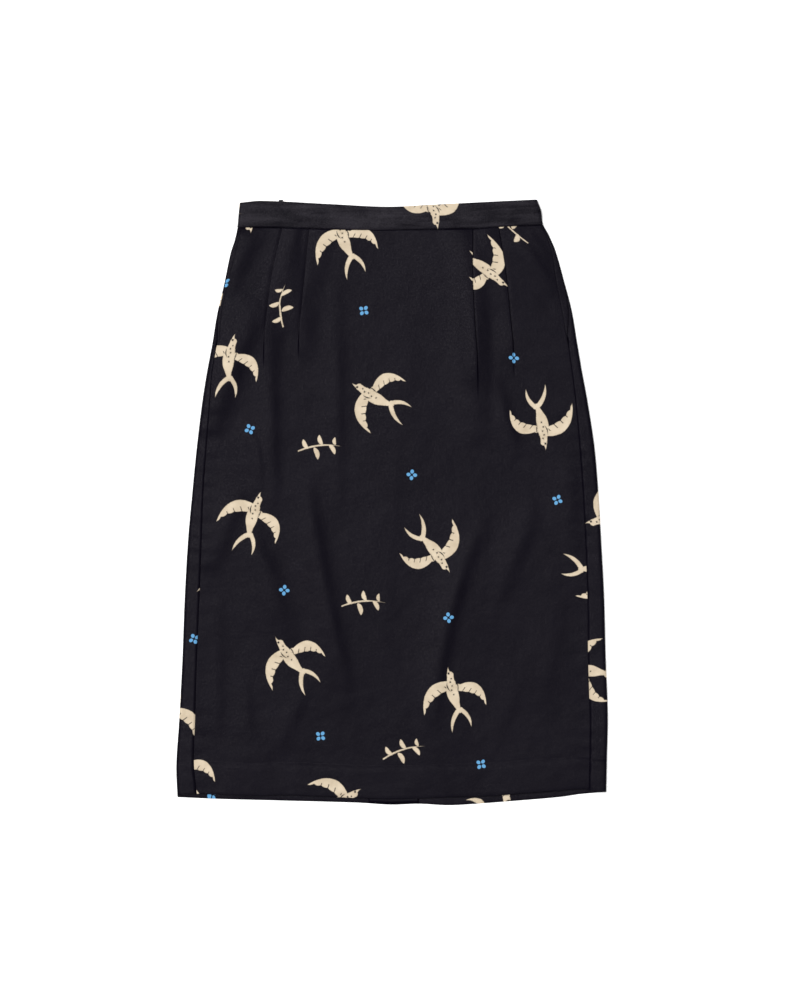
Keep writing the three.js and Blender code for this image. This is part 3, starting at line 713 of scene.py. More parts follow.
TURN_STEPS = 6
PLEAT_MARGIN = 3
GROOVE_MARGIN = 5
RIDGE_FALL = 26  # how far in from a pleat the cloth comes down again
EDGE_STEPS = 9
EDGE_REACH = 6
SIDE_STEPS = 22
FALL_STEPS = 8
MIDDLE_STEPS = 20
LEAST_STEP = 0.1  # between two columns of points
LEAST_SEAM = 0.02
SEAM_DIP = 0.14  # how far an edge sinks into the band's seam
SIDE_DIP = 0.045  # and into a side seam
SEAM_DIP_REACH = 0.7
GROOVE = 0.5  # how far the cloth sinks beside a pressed fold
GROOVE_WIDTH = 2.2
GROOVE_STEPS = 7
GROOVE_SPACING = 1.1


def pleat_points(lie):
    """The turn of a pleat as an S, from the cloth that goes in under it to the cloth on top."""
    angle, radius = lie["angle"], lie["radius"]
    turned = np.linspace(0, angle, TURN_STEPS + 1)
    first = np.c_[radius * np.sin(turned), radius * (1 - np.cos(turned))]
    step = lie["between"] * np.array([math.cos(angle), math.sin(angle)])
    between = [first[-1] + step * share for share in (0.25, 0.5, 0.75)]
    left = turned[::-1]
    second = np.c_[radius * (math.sin(angle) - np.sin(left)), radius * (np.cos(left) - math.cos(angle))]
    points = np.vstack([first, between, second + first[-1] + step])
    points[:, 0] += lie["end"] - lie["width"]
    points[:, 1] *= lie["shown"]
    return points


def approach(lie):
    """Where the flat cloth outside a pleat ends."""
    margin = mixed(PLEAT_MARGIN, GROOVE_MARGIN, lie["folded"])
    return lie["end"] - max(margin, lie["width"] + PLEAT_MARGIN / 2)


def groove_points(lie):
    """The cloth beside a pressed fold, which sinks a little as it goes in under it."""
    start = approach(lie)
    spacing = min(GROOVE_SPACING, (lie["end"] - lie["width"] - start) / (GROOVE_STEPS + 1))
    x = start + spacing * np.arange(1, GROOVE_STEPS + 1)
    sink = GROOVE * lie["folded"] ** 2 * np.exp(-(((x - lie["edge"]) / GROOVE_WIDTH) ** 2))
    return np.c_[x, -sink]


def half_front(name, y):
    """Half of the front's section from the side seam in to the middle, with x negative outwards."""
    side = SIDES[name]
    reach, opened = side["reach"](y), mouth_open(y)
    seam = max(side["wrap"](y) + SEAM_GAP, LEAST_SEAM) + MOUTH_GAP * opened
    edge = seam + EDGE_REACH * np.linspace(0, 1, EDGE_STEPS + 1) ** 2
    stitched = side["stitch"](y)
    outermost = seam + LEAST_STEP * np.arange(1, len(STITCH_COLUMNS) + 1)
    inside = np.sort(np.r_[edge, np.maximum(stitched + np.array(STITCH_COLUMNS), outermost)])
    droop = (FRONT_LEVEL - side_height(inside, BACK_LEVEL, FRONT_LEVEL)) * (1 - MOUTH_LIFT * opened)
    held = eased(y, SEWN_BELOW, MOUTH_BOTTOM)
    droop = droop + STITCH_SINK * held * np.exp(-(((inside - stitched) / STITCH_SINK_WIDTH) ** 2))
    dip = SIDE_DIP * seam_draw(y) * (1 - opened) * np.exp(-(((inside - seam) / SEAM_DIP_REACH) ** 2))
    parts = [np.c_[inside - reach, -droop - dip]]
    pleats = [pleat_at(pleat, y) for pleat in PLEATS[name]]
    run = np.linspace(parts[0][-1, 0], approach(pleats[0]), SIDE_STEPS + 1)[1:]
    parts.append(np.c_[run, np.zeros(SIDE_STEPS)])
    for lie, following in zip(pleats, [*pleats[1:], None]):
        parts += [groove_points(lie), pleat_points(lie)]
        fall_from = lie["end"] + lie["between"] + PLEAT_MARGIN / 2
        fall_to = min(fall_from + RIDGE_FALL, approach(following) if following else 0)
        share = np.linspace(0, 1, FALL_STEPS + 1)
        falling = lie["rise"] * lie["shown"] * (1 - eased(share, 0, 1))
        parts.append(np.c_[mixed(fall_from, fall_to, share), falling])
    parts.append(np.c_[np.linspace(fall_to, 0, MIDDLE_STEPS + 1)[1:], np.zeros(MIDDLE_STEPS)])
    return np.vstack(parts)


LEAST_SPACING = 0.8
EXTRA_ROWS = (-5, -3.6, -2, -0.8, 0.6, 2)  # beside the top of the turn-up, for its step
SEAM_ROW = 1.1  # below the band's seam


def panel_rows(spacing):
    """The rows of a panel from foot to band, closer together beside its hem's top and its seam."""
    count = round((PANEL_TOP - PANEL_BOTTOM - HEM_TURN) / spacing)
    even = np.linspace(PANEL_BOTTOM + HEM_TURN, PANEL_TOP, count + 1)
    extra = PANEL_BOTTOM + HEM_DEPTH + np.array(EXTRA_ROWS)
    clear = np.abs(even[:, None] - extra).min(axis=1) > LEAST_SPACING
    return np.sort(np.r_[even[clear], extra, PANEL_TOP - SEAM_ROW])


HEM_STEP = 0.9  # the turn-up shows on the face as a faint step
HEM_STITCH_SINK = 0.45
HEM_STITCH_BELOW = 2  # the top of the turn-up
HEM_STITCH_WIDTH = 2.2


def hem_print_through(share):
    """The edge of the turn-up, felt through the cloth above the hem."""
    height = share * (PANEL_TOP - PANEL_BOTTOM)
    step = HEM_STEP * (1 - eased(height, HEM_DEPTH - 2.0, HEM_DEPTH + 0.5))
    from_stitches = (height - HEM_DEPTH + HEM_STITCH_BELOW) / HEM_STITCH_WIDTH
    return step - HEM_STITCH_SINK * np.exp(-(from_stitches**2))


FRONT_SPACING = 4.05
BAND_HOLD = 0.8  # how much of a fold the band's seam presses flat
BAND_HOLD_REACH = 9
BAND_GAP = 0.1  # between a panel or a band and the seam between them
EASE_REACH = 12  # how far in from a side seam the cloth is held flat


def lengths_along(x, z):
    return np.r_[0, np.cumsum(np.hypot(np.diff(x), np.diff(z)))]


def front_grid():
    """The front's cloth at the middle of its wall, and its place on the cut."""
    rows, cuts = [], []
    for y_row in panel_rows(FRONT_SPACING):
        left = half_front("left", y_row)
        right = half_front("right", y_row) * (-1, 1)
        across = np.vstack([left, right[::-1][1:]])
        share = (y_row - PANEL_BOTTOM) / (PANEL_TOP - PANEL_BOTTOM)
        x, z = across.T
        y = mixed(front_hem(x), band_seam(x) - BAND_GAP, share)
        left_inside = x + SIDES["left"]["reach"](y_row) - SIDES["left"]["wrap"](y_row)
        right_inside = SIDES["right"]["reach"](y_row) - SIDES["right"]["wrap"](y_row) - x
        by_band = BAND_HOLD * np.exp(-(band_seam(x) - y) / BAND_HOLD_REACH)
        rise = folds(FRONT_FOLDS, x, y) * (1 - by_band) + hem_print_through(share)
        edge = np.minimum(left_inside, right_inside)
        rise += seam_puckers(x, y, edge) + ease_of_cloth(x, y) * ramp(edge, 0, EASE_REACH)
        band_dip = SEAM_DIP * np.exp(-(((band_seam(x) - y) / SEAM_DIP_REACH) ** 2))
        rows.append(np.c_[x, y, FRONT_LEVEL + z + rise - band_dip])
        along = lengths_along(x, z)
        cuts.append(np.c_[along - along[len(left) - 1], y])
    return np.array(rows), np.array(cuts)


def normals_of(grid):
    """Unit normals of a grid of points, by its rows and columns."""
    along = np.gradient(grid, axis=1)
    up = np.gradient(grid, axis=0)
    normal = np.cross(along, up)
    return normal / np.linalg.norm(normal, axis=2, keepdims=True)


FOLD_STEPS = 7


def turned_in(grid, cut, depth, radius):
    """A grid whose first row is turned in under it, round a fold, for a depth of cloth."""
    normal = normals_of(grid)
    reach = np.linalg.norm(grid - grid[0], axis=2).mean(axis=1)
    inner = [row for row in range(len(grid)) if reach[row] <= depth][1:]
    outwards = grid[0] - grid[1]
    outwards /= np.linalg.norm(outwards, axis=1, keepdims=True)
    middle = grid[0] - normal[0] * radius
    rows, cuts = [], []
    for row in reversed(inner):
        rows.append(grid[row] - normal[row] * 2 * radius)
        cuts.append(cut[0] + (cut[0] - cut[row]) * (0, 1))
    for step in range(FOLD_STEPS + 1):
        angle = math.pi * (1 - step / (FOLD_STEPS + 1))
        around = normal[0] * math.cos(angle) + outwards * math.sin(angle)
        rows.append(middle + around * radius)
        cuts.append(cut[0] - np.array([0, radius * angle]) * np.sign(cut[1, 0, 1] - cut[0, 0, 1]))
    return np.concatenate([rows, grid]), np.concatenate([cuts, cut])


def cloth_piece(name, grid, cut, thickness=CLOTH, materials=(face, wrong)):
    """A closed wall of cloth over a grid: the printed face outside, the wrong side inside."""
    rows, columns = grid.shape[:2]
    normal = normals_of(grid)
    outer = grid + normal * thickness / 2
    inner = grid - normal * thickness / 2
    points = np.concatenate([outer.reshape(-1, 3), inner.reshape(-1, 3)]) * MM
    index = np.arange(rows * columns).reshape(rows, columns)
    corners = [index[:-1, :-1], index[:-1, 1:], index[1:, 1:], index[1:, :-1]]
    outside = np.stack(corners, axis=-1).reshape(-1, 4)
    behind = rows * columns
    rim = np.r_[index[0], index[1:, -1], index[-1, -2::-1], index[-2:0:-1, 0]]
    ahead = np.roll(rim, -1)
    edge = np.stack([rim, rim + behind, ahead + behind, ahead], axis=1)
    quads = np.concatenate([outside, outside[:, ::-1] + behind, edge])
    mesh = bpy.data.meshes.new(name)
    mesh.from_pydata(points, [], quads.tolist())
    for material in materials:
        mesh.materials.append(material)
    sides = np.zeros(len(quads), dtype=np.int32)
    sides[len(outside) : 2 * len(outside)] = 1
    mesh.polygons.foreach_set("material_index", sides)
    mesh.polygons.foreach_set("use_smooth", np.arange(len(quads)) < 2 * len(outside))
    places = np.concatenate([cut.reshape(-1, 2)] * 2) * MM
    layer = mesh.uv_layers.new(name="cut")
    layer.data.foreach_set("uv", places[quads.reshape(-1)].reshape(-1))
    mesh.update()
    return put_in_scene(name, mesh)


def cut_size(cut):
    """The width and length of a piece as it is cut, and its area, in metres."""
    flat = cut * MM
    width, length = flat.reshape(-1, 2).max(axis=0) - flat.reshape(-1, 2).min(axis=0)
    across = flat[1:, 1:] - flat[:-1, :-1]
    up = flat[1:, :-1] - flat[:-1, 1:]
    area = np.abs(across[..., 0] * up[..., 1] - across[..., 1] * up[..., 0]).sum() / 2
    return (float(width), float(length)), float(area)


def lay_cloth(piece, node, cut):
    """Sets a piece of cloth in the frame, in place of its node."""
    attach(piece, "root")
    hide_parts(node)
    flat, area = cut_size(cut)
    area = min(area, flat[0] * flat[1])


front_cloth, front_cut = front_grid()
front_cloth, front_cut = turned_in(front_cloth, front_cut, HEM_DEPTH, HEM_TURN)
front = cloth_piece("front", front_cloth, front_cut)

# Back halves
# Two halves of the same cloth, joined down the centre back as far as the vent. Each lies flat on the
# surface, turns up round its side and comes in at the front's level to the side seam, with the same
# 38 mm turned up at the foot.
CENTRE_BACK = -2.4
VENT_TOP = -198
FLAT_STEPS = 34
ROUND_STEPS = 22
WRAP_SCALE = 25
BACK_SPACING = 3.8
SIDE_GAP = 0.04  # left at the outline where nothing wraps
SHORT_WRAP = 0.5
FULL_WRAP = 4
NEAR_SEAM = 60
FAR_FROM_SEAM = 99
BACK_PRINT = (7, -61)  # how far the print is moved from the front's
SLIT_DEPTH = 1.6  # how far the back's edge goes down into an open pocket's mouth
SLIT_WIDTH = 1.8
BACK_FOLDS = table(
    "from_x from_y to_x to_y bow width height",
    (-150, 240, -168, 60, 5, 6, 0.55),
    (-96, 40, -70, -190, -8, 7, 0.55),
    (-190, -60, -170, -240, 5, 6, 0.5),
    (60, 210, 70, 20, 4, 6, 0.55),
    (150, 120, 168, -80, -6, 6, 0.5),
    (96, -90, 72, -280, 6, 7, 0.55),
)


def half_back(name, y):
    """Half of the back's section, from the centre back out, round the side and in to the seam."""
    side = SIDES[name]
    reach, opened = side["reach"](y), mouth_open(y)
    high = mixed(FRONT_LEVEL, SUNK_LEVEL, opened)
    end = max(side["wrap"](y) - SEAM_GAP, 0) + mouth_tuck(y)
    butt = SIDE_GAP * (1 - min(end / SHORT_WRAP, 1))
    centre = side["sign"] * CENTRE_BACK + SEAM_GAP
    flat_x = np.linspace(centre, reach - SIDE_ROUND, FLAT_STEPS + 1)[:-1]
    turn = np.linspace(-1, math.sqrt(end / WRAP_SCALE) - butt, ROUND_STEPS + 1)
    below = math.pi / 2 * np.minimum(turn, 0)
    inside = np.where(turn < 0, SIDE_ROUND * (1 - np.cos(below)), WRAP_SCALE * turn**2)
    under = (BACK_LEVEL + high) / 2 + (high - BACK_LEVEL) / 2 * np.sin(below)
    z = np.where(turn < 0, under, side_height(inside, BACK_LEVEL, high))
    mouth = side["wrap"](y) + SEAM_GAP
    come_over = ramp(np.where(turn > 0, inside, 0), 0, SLIT_WIDTH)
    z = z - SLIT_DEPTH * opened * come_over * eased(inside, mouth - SLIT_WIDTH, mouth + SLIT_WIDTH / 3)
    sunk = SIDE_DIP * seam_draw(y) * (1 - opened) * (turn > 0) * ramp(end, SHORT_WRAP, FULL_WRAP)
    z = z - sunk * np.exp(-(((end - inside) / SEAM_DIP_REACH) ** 2))
    x = side["sign"] * np.r_[flat_x, reach - inside]
    over = np.r_[np.zeros(FLAT_STEPS), eased(turn, -0.3, 0.3)]
    from_seam = end - np.r_[np.full(FLAT_STEPS, -FAR_FROM_SEAM), inside]
    return x, np.r_[np.full(FLAT_STEPS, BACK_LEVEL), z], over, from_seam


def back_grid(name):
    rows, cuts = [], []
    for y_row in panel_rows(BACK_SPACING):
        x, z, over, from_seam = half_back(name, y_row)
        share = (y_row - PANEL_BOTTOM) / (PANEL_TOP - PANEL_BOTTOM)
        hem = mixed(back_hem(x), front_hem(x), over)
        y = mixed(hem, band_seam(x) - BAND_GAP, share)
        on_top = over * (np.abs(from_seam) < NEAR_SEAM)
        rise = folds(BACK_FOLDS, x, y) * (1 - over)
        rise += on_top * (seam_puckers(x, y, np.abs(from_seam)) + hem_print_through(share))
        rise += on_top * folds(FRONT_FOLDS, x, y)
        rows.append(np.c_[x, y, z + rise])
        cut_x = SIDES[name]["sign"] * (lengths_along(x, z) + BACK_PRINT[0])
        cuts.append(np.c_[cut_x, y + BACK_PRINT[1]])
    grid, cut = np.array(rows), np.array(cuts)
    if name == "right":
        grid, cut = grid[:, ::-1], cut[:, ::-1]
    return turned_in(grid, cut, HEM_DEPTH, HEM_TURN)


for side_name in SIDES:
    back_cloth, back_cut = back_grid(side_name)
    back = cloth_piece(f"back_{side_name}", back_cloth, back_cut)
    lay_cloth(back, f"back_panel_{side_name}", back_cut)
lay_cloth(front, "front_panel", front_cut)

# Vent underlap
# A doubled strip of the same cloth inside the centre back, which closes the vent. Its foot shows
# between the two hems, where it lies over both halves' turn-ups.
VENT_LEFT = -27.6
VENT_RIGHT = 31.2
HEM_TOP = PANEL_BOTTOM + HEM_DEPTH
OVER_HEM = 2.8
OVER_BACK = 1.8
STRIP_ROWS = 46
STRIP_STEPS = 24
STRIP_CLOTH = 0.9  # the strip is doubled
STRIP_SHORT = 0.8  # how far its foot stays above the back's hem
STRIP_CLIMB = (2, 14)  # above the turn-up's top, where it comes down off it
WAVE_HEIGHT = 0.12  # of hidden cloth, which isn't quite flat
STRIP_PRINT = (61, 40)  # how far the print is moved


def underlap_grid():
    rows, cuts = [], []
    for y_row in np.linspace(PANEL_BOTTOM, VENT_TOP, STRIP_ROWS):
        x = np.linspace(VENT_LEFT, VENT_RIGHT, STRIP_STEPS + 1)
        share = (y_row - PANEL_BOTTOM) / (VENT_TOP - PANEL_BOTTOM)
        y = mixed(back_hem(x) + STRIP_SHORT, VENT_TOP, share)
        z = mixed(OVER_HEM, OVER_BACK, eased(y, HEM_TOP + STRIP_CLIMB[0], HEM_TOP + STRIP_CLIMB[1]))
        z = z + WAVE_HEIGHT * np.sin(y / 17 + x / 9) * ramp(share, 0, 0.2)
        rows.append(np.c_[x, y, z])
        cuts.append(np.c_[x + STRIP_PRINT[0], y + STRIP_PRINT[1]])
    return np.array(rows), np.array(cuts)


underlap_cloth, underlap_cut = underlap_grid()
underlap = cloth_piece("vent_strip", underlap_cloth, underlap_cut, thickness=STRIP_CLOTH)
lay_cloth(underlap, "vent_underlap", underlap_cut)

# Hanger loop
# A narrow satin tape, doubled and caught inside the waistband's left end, with only its tip standing
# above the band.
LOOP_X = -130.5
LOOP_WIDTH = 5
LOOP_TIP = 355.2
LOOP_FOOT = 331
LOOP_LOWER = 3.05
LOOP_PITCH = 1.3
LOOP_TAPE = 0.7
LOOP_COLUMNS = 7
LOOP_ROWS = 14
LOOP_TURN_ROWS = 11
satin_tape = plain_cloth("loop_tape", (0.012, 0.012, 0.014, 1), 0.4, roughness=0.45)
loop_turn = LOOP_TIP - LOOP_TAPE / 2 - LOOP_PITCH / 2
loop_angles = np.linspace(0, math.pi, LOOP_TURN_ROWS)
loop_run = np.linspace(LOOP_FOOT, loop_turn, LOOP_ROWS)[:-1]
loop_y = np.r_[loop_run, loop_turn + LOOP_PITCH / 2 * np.sin(loop_angles), loop_run[::-1]]
loop_z = np.r_[
    loop_run * 0 + LOOP_LOWER,
    LOOP_LOWER + LOOP_PITCH / 2 * (1 - np.cos(loop_angles)),
    loop_run * 0 + LOOP_LOWER + LOOP_PITCH,
]
loop_across = np.linspace(LOOP_WIDTH / 2, -LOOP_WIDTH / 2, LOOP_COLUMNS)
loop_grid = np.array([
    np.c_[LOOP_X + loop_across, loop_across * 0 + y, loop_across * 0 + z] for y, z in zip(loop_y, loop_z)
])
loop_cut = np.array([
    np.c_[loop_across, loop_across * 0 + along] for along in lengths_along(loop_y, loop_z)
])
hanger = cloth_piece("hanger_tape", loop_grid, loop_cut, LOOP_TAPE, (satin_tape, satin_tape))
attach(hanger, "root")
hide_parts("hanger_loop")

# Waistband
# A straight band of the same cloth over a firm stiffening, folded along its top edge and sewn to the
# panels at its foot. The front runs from side seam to side seam, and the back is in two halves, which
# part at the centre back for the zip.
BAND_WALL_FRONT = 1.7
BAND_WALL_BACK = 2.2
BAND_ROOM = 3.0
BAND_SWELL = 0.9
BAND_PARTING = 3.8
BAND_CLOTH = 0.6
BAND_DEPTH = 28
BAND_RISE = 0.75  # of the front's middle above the room inside
BAND_LEVEL_BACK = BAND_WALL_BACK / 2
BAND_LEVEL_FRONT = BAND_WALL_BACK + BAND_ROOM + BAND_RISE
BAND_EDGE = 0.18
BAND_ROUND = (-90, -12)  # how far the back goes round the side, in degrees
BAND_FOOT = 2
BAND_SEWN_IN = 3
BAND_ROWS = 15
BAND_STEPS = 110
BACK_DIP = 0.3  # how far the back sinks into its seam, of the front's dip
BAND_PRINT = (19, 88)  # how far the print is moved
BAND_FOLDS = table(  # these run across, and their steep side falls away downwards
    "from_x from_y to_x to_y bow width height",
    (176, 345, 80, 340, 1.5, 1.8, 0.7),
    (178, 334, 60, 331, -1, 1.8, 0.6),
    (-92, 337, -176, 339, 1, 2.2, 0.5),
    (-4, 338, -66, 336, 1, 2.4, 0.4),
    (66, 338, 4, 335, -1, 2.4, 0.4),
    (-100, 330, -150, 331, 1, 2.0, 0.4),
)


def band_section(reach_left, reach_right):
    """Across the front band at one height: x, and height at the middle of its wall."""
    inside = BAND_EDGE + EDGE_REACH * np.linspace(0, 1, EDGE_STEPS + 1) ** 2
    z = side_height(inside, BAND_LEVEL_BACK, BAND_LEVEL_FRONT)
    left_x, right_x = inside - reach_left, (reach_right - inside)[::-1]
    middle = np.linspace(left_x[-1], right_x[0], BAND_STEPS + 1)[1:-1]
    return np.r_[left_x, middle, right_x], np.r_[z, np.full(BAND_STEPS - 1, BAND_LEVEL_FRONT), z[::-1]]


def back_band_section(name, reach):
    """Across half of the back band, from the parting out to the side."""
    centre = SIDES[name]["sign"] * CENTRE_BACK + BAND_PARTING / 2
    flat_x = np.linspace(centre, reach - SIDE_ROUND, BAND_STEPS // 2)[:-1]
    below = np.radians(np.linspace(*BAND_ROUND, EDGE_STEPS + 1))
    half = (BAND_LEVEL_FRONT - BAND_LEVEL_BACK) / 2
    round_x = reach - SIDE_ROUND * (1 - np.cos(below))
    z = np.r_[np.full(len(flat_x), BAND_LEVEL_BACK), BAND_LEVEL_BACK + half * (1 + np.sin(below))]
    return SIDES[name]["sign"] * np.r_[flat_x, round_x], z


def band_grid(section, wall, face_up, flip=False):
    """A band folded along its top edge: its outer layer, the fold and its inner layer."""
    radius = (wall - BAND_CLOTH) / 2
    rows = []
    for share in np.linspace(0, 1, BAND_ROWS + 1):
        y_row = mixed(PANEL_TOP + BAND_FOOT, BAND_TOP["y"][1], share)
        x, z = section(y_row)
        y = mixed(band_seam(x) + BAND_GAP, band_top(x) - radius, share)
        swell = BAND_SWELL * math.sin(math.pi * share) if face_up else 0
        crease = folds(BAND_FOLDS, x, y) if face_up else 0
        dip = SEAM_DIP * (1 if face_up else -BACK_DIP)
        sink = dip * math.exp(-((share * BAND_DEPTH / SEAM_DIP_REACH) ** 2))
        rows.append(np.c_[x, y, z + swell + crease - sink])
    middle = np.array(rows)
    if flip:
        middle = middle[:, ::-1]
    outer = middle + normals_of(middle) * radius
    along = np.r_[0, np.cumsum(np.linalg.norm(np.diff(outer[0], axis=0), axis=1))]
    cut_x = along - along.mean() + BAND_PRINT[0]
    cut = np.array([np.c_[cut_x, cut_x * 0 + row[:, 1].mean() + BAND_PRINT[1]] for row in outer])
    depth = BAND_TOP["y"][1] - PANEL_TOP - BAND_SEWN_IN
    grid, cut = turned_in(outer[::-1, ::-1], cut[::-1, ::-1], depth, radius)
    return grid[::-1, ::-1], cut[::-1, ::-1]


def lay_band(name, node, section, wall, face_up, flip, with_pieces=()):
    grid, cut = band_grid(section, wall, face_up, flip)
    piece = cloth_piece(name, grid, cut, BAND_CLOTH, (band_face_painted_sheen, wrong))
    lay_cloth(piece, node, cut)


lay_band(
    "band_front",
    "waistband_front",
    lambda y: band_section(SIDES["left"]["reach"](y), SIDES["right"]["reach"](y)),
    BAND_WALL_FRONT,
    True,
    False,
)
for side_name in SIDES:
    lay_band(
        f"band_back_{side_name}",
        f"waistband_back_{side_name}",
        lambda y, side_name=side_name: back_band_section(side_name, SIDES[side_name]["reach"](y)),
        BAND_WALL_BACK,
        False,
        side_name == "right",
        with_pieces=[hanger] if side_name == "left" else [],
    )

# Pocket bags
# One piece of plain black pocketing on each side, folded at its inner edge and sewn across its top and
# foot, hanging inside from the pocket's mouth in the side seam.
POCKETING = (0.011, 0.011, 0.013, 1)
BAG = table("y depth", (92, 62), (108, 96), (140, 118), (190, 122), (240, 112), (285, 92), (300, 78))
BAG_LOWER = 1.9
BAG_UPPER = 3.5
BAG_SEWN = 1.3
BAG_MARGIN = 1.5
BAG_CLOTH = 0.5
BAG_ROWS = 54
BAG_STEPS = 22
BAG_TURN_STEPS = 9
BAG_CLOSING = 8  # how far from its top and foot the two layers come together
pocketing = plain_cloth("pocketing", POCKETING, 0.6)
bag_depth = smooth(BAG, "y", "depth")


def bag_grid(name):
    side = SIDES[name]
    rows, cuts = [], []
    for y in np.linspace(BAG["y"][0], BAG["y"][-1], BAG_ROWS):
        ends = max(1 - (y - BAG["y"][0]) / BAG_CLOSING, 1 - (BAG["y"][-1] - y) / BAG_CLOSING, 0)
        upper = mixed(BAG_UPPER, BAG_LOWER + BAG_SEWN, ends)
        radius = (upper - BAG_LOWER) / 2
        mouth = side["reach"](y) - max(side["wrap"](y), SIDE_ROUND) - TUCK - BAG_MARGIN
        inner = mouth - bag_depth(y)
        lower_x = np.linspace(mouth, inner, BAG_STEPS)[:-1]
        turned = np.linspace(0, math.pi, BAG_TURN_STEPS)
        round_z = BAG_LOWER + radius * (1 - np.cos(turned))
        x = np.r_[lower_x, inner - radius * np.sin(turned), lower_x[::-1]]
        z = np.r_[lower_x * 0 + BAG_LOWER, round_z, lower_x * 0 + upper]
        z = z + WAVE_HEIGHT * np.sin(x / 11 + y / 19)
        rows.append(np.c_[side["sign"] * x, x * 0 + y, z])
        cuts.append(np.c_[lengths_along(x, z), x * 0 + y])
    grid, cut = np.array(rows), np.array(cuts)
    return (grid[:, ::-1], cut[:, ::-1]) if name == "left" else (grid, cut)


for side_name in SIDES:
    bag_cloth, bag_cut = bag_grid(side_name)
    bag = cloth_piece(f"bag_{side_name}", bag_cloth, bag_cut, BAG_CLOTH, (pocketing, pocketing))
    lay_cloth(
        bag,
        f"pocket_bag_{side_name}",
        bag_cut,
    )

# Zip
# A concealed zip closes the centre back: a woven tape inside the seam and an enamelled slider at the
# waist. It is drawn up, with its tab lying in the band's parting and its coil shut in the tape's fold.
TAPE_WIDTH = 24
TAPE_TOP = 332
TAPE_BOTTOM = 150
TAPE_IN_BAND = BAND_WALL_BACK + 0.8
TAPE_CLOTH = 0.8
TAPE_BAND_FOOT = 306  # above this the tape climbs over the band's seam
TAPE_CLIMB = 10
TAPE_ROWS = 64
TAPE_COLUMNS = 13
ENAMEL = (0.012, 0.012, 0.013, 1)
ENAMEL_CHIPPED = (0.05, 0.05, 0.052, 1)
tape_weave = plain_cloth("zip_tape", (0.012, 0.012, 0.014, 1), 0.8)
tape_across = np.linspace(-TAPE_WIDTH / 2, TAPE_WIDTH / 2, TAPE_COLUMNS)
tape_rows, tape_cuts = [], []
for tape_y in np.linspace(TAPE_BOTTOM, TAPE_TOP, TAPE_ROWS):
    tape_z = mixed(OVER_BACK, TAPE_IN_BAND, eased(tape_y, TAPE_BAND_FOOT, TAPE_BAND_FOOT + TAPE_CLIMB))
    tape_rows.append(np.c_[CENTRE_BACK + tape_across, tape_across * 0 + tape_y, tape_across * 0 + tape_z])
    tape_cuts.append(np.c_[tape_across, tape_across * 0 + tape_y])
tape_cut = np.array(tape_cuts)
tape = cloth_piece("zip_tape_cloth", np.array(tape_rows), tape_cut, TAPE_CLOTH, (tape_weave, tape_weave))
lay_cloth(tape, "zip_tape", tape_cut)

enamel = Shader("zip_enamel")
chips = enamel.noise(enamel.place("Object")[1], 900, 3.0)
zip_enamel = enamel.finish(
    Base_Color=enamel.mix((chips * 2 - 0.9).clamped(), ENAMEL, ENAMEL_CHIPPED),
    Roughness=0.3 + chips * 0.2,
    Normal=enamel.bump(0.2, 0.0001, chips),
    Metallic=0.2,
)
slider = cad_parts["zip_slider"]
slider.data.materials.clear()
slider.data.materials.append(zip_enamel)

# Stitching
# Black polyester thread. A row of topstitching holds the edge of each pocket's mouth, and the tape and
# the underlap are each sewn down both sides. One tree lays a stitch of a given length along each line, a
# pitch apart.
THREAD = (0.004, 0.004, 0.005, 1)
THREAD_LIGHT = (0.010, 0.010, 0.012, 1)
THREAD_RADIUS = 0.19
STITCH = 2.3
STITCH_PITCH = 2.9
STITCH_SIZES = {"Pitch": STITCH_PITCH, "Stitch length": STITCH, "Thread radius": THREAD_RADIUS}
STITCH_SEGMENTS = 6
STITCH_RINGS = 5
TAPE_SEWN = 9.5  # from the tape's middle
STRIP_SEWN = 4  # from the underlap's edges
LINE_POINTS = 40
LINE_MARGIN = 4
STRIP_LINE_START = 18
MOUTH_LINE_START = 3
PLY = 9000  # turns of the thread's twist

thread = Shader("sewing_thread")
(thread_x, thread_y, _), _ = thread.place("Object")
ply = ((thread_x + thread_y * 1.4) * PLY).sine()
sewing_thread = thread.finish(
    Base_Color=thread.mix((ply * 0.5 + 0.5).clamped(), THREAD, THREAD_LIGHT),
    Roughness=0.8,
    Normal=thread.bump(0.5, 0.00005, ply),
    Specular_IOR_Level=0.15,
)


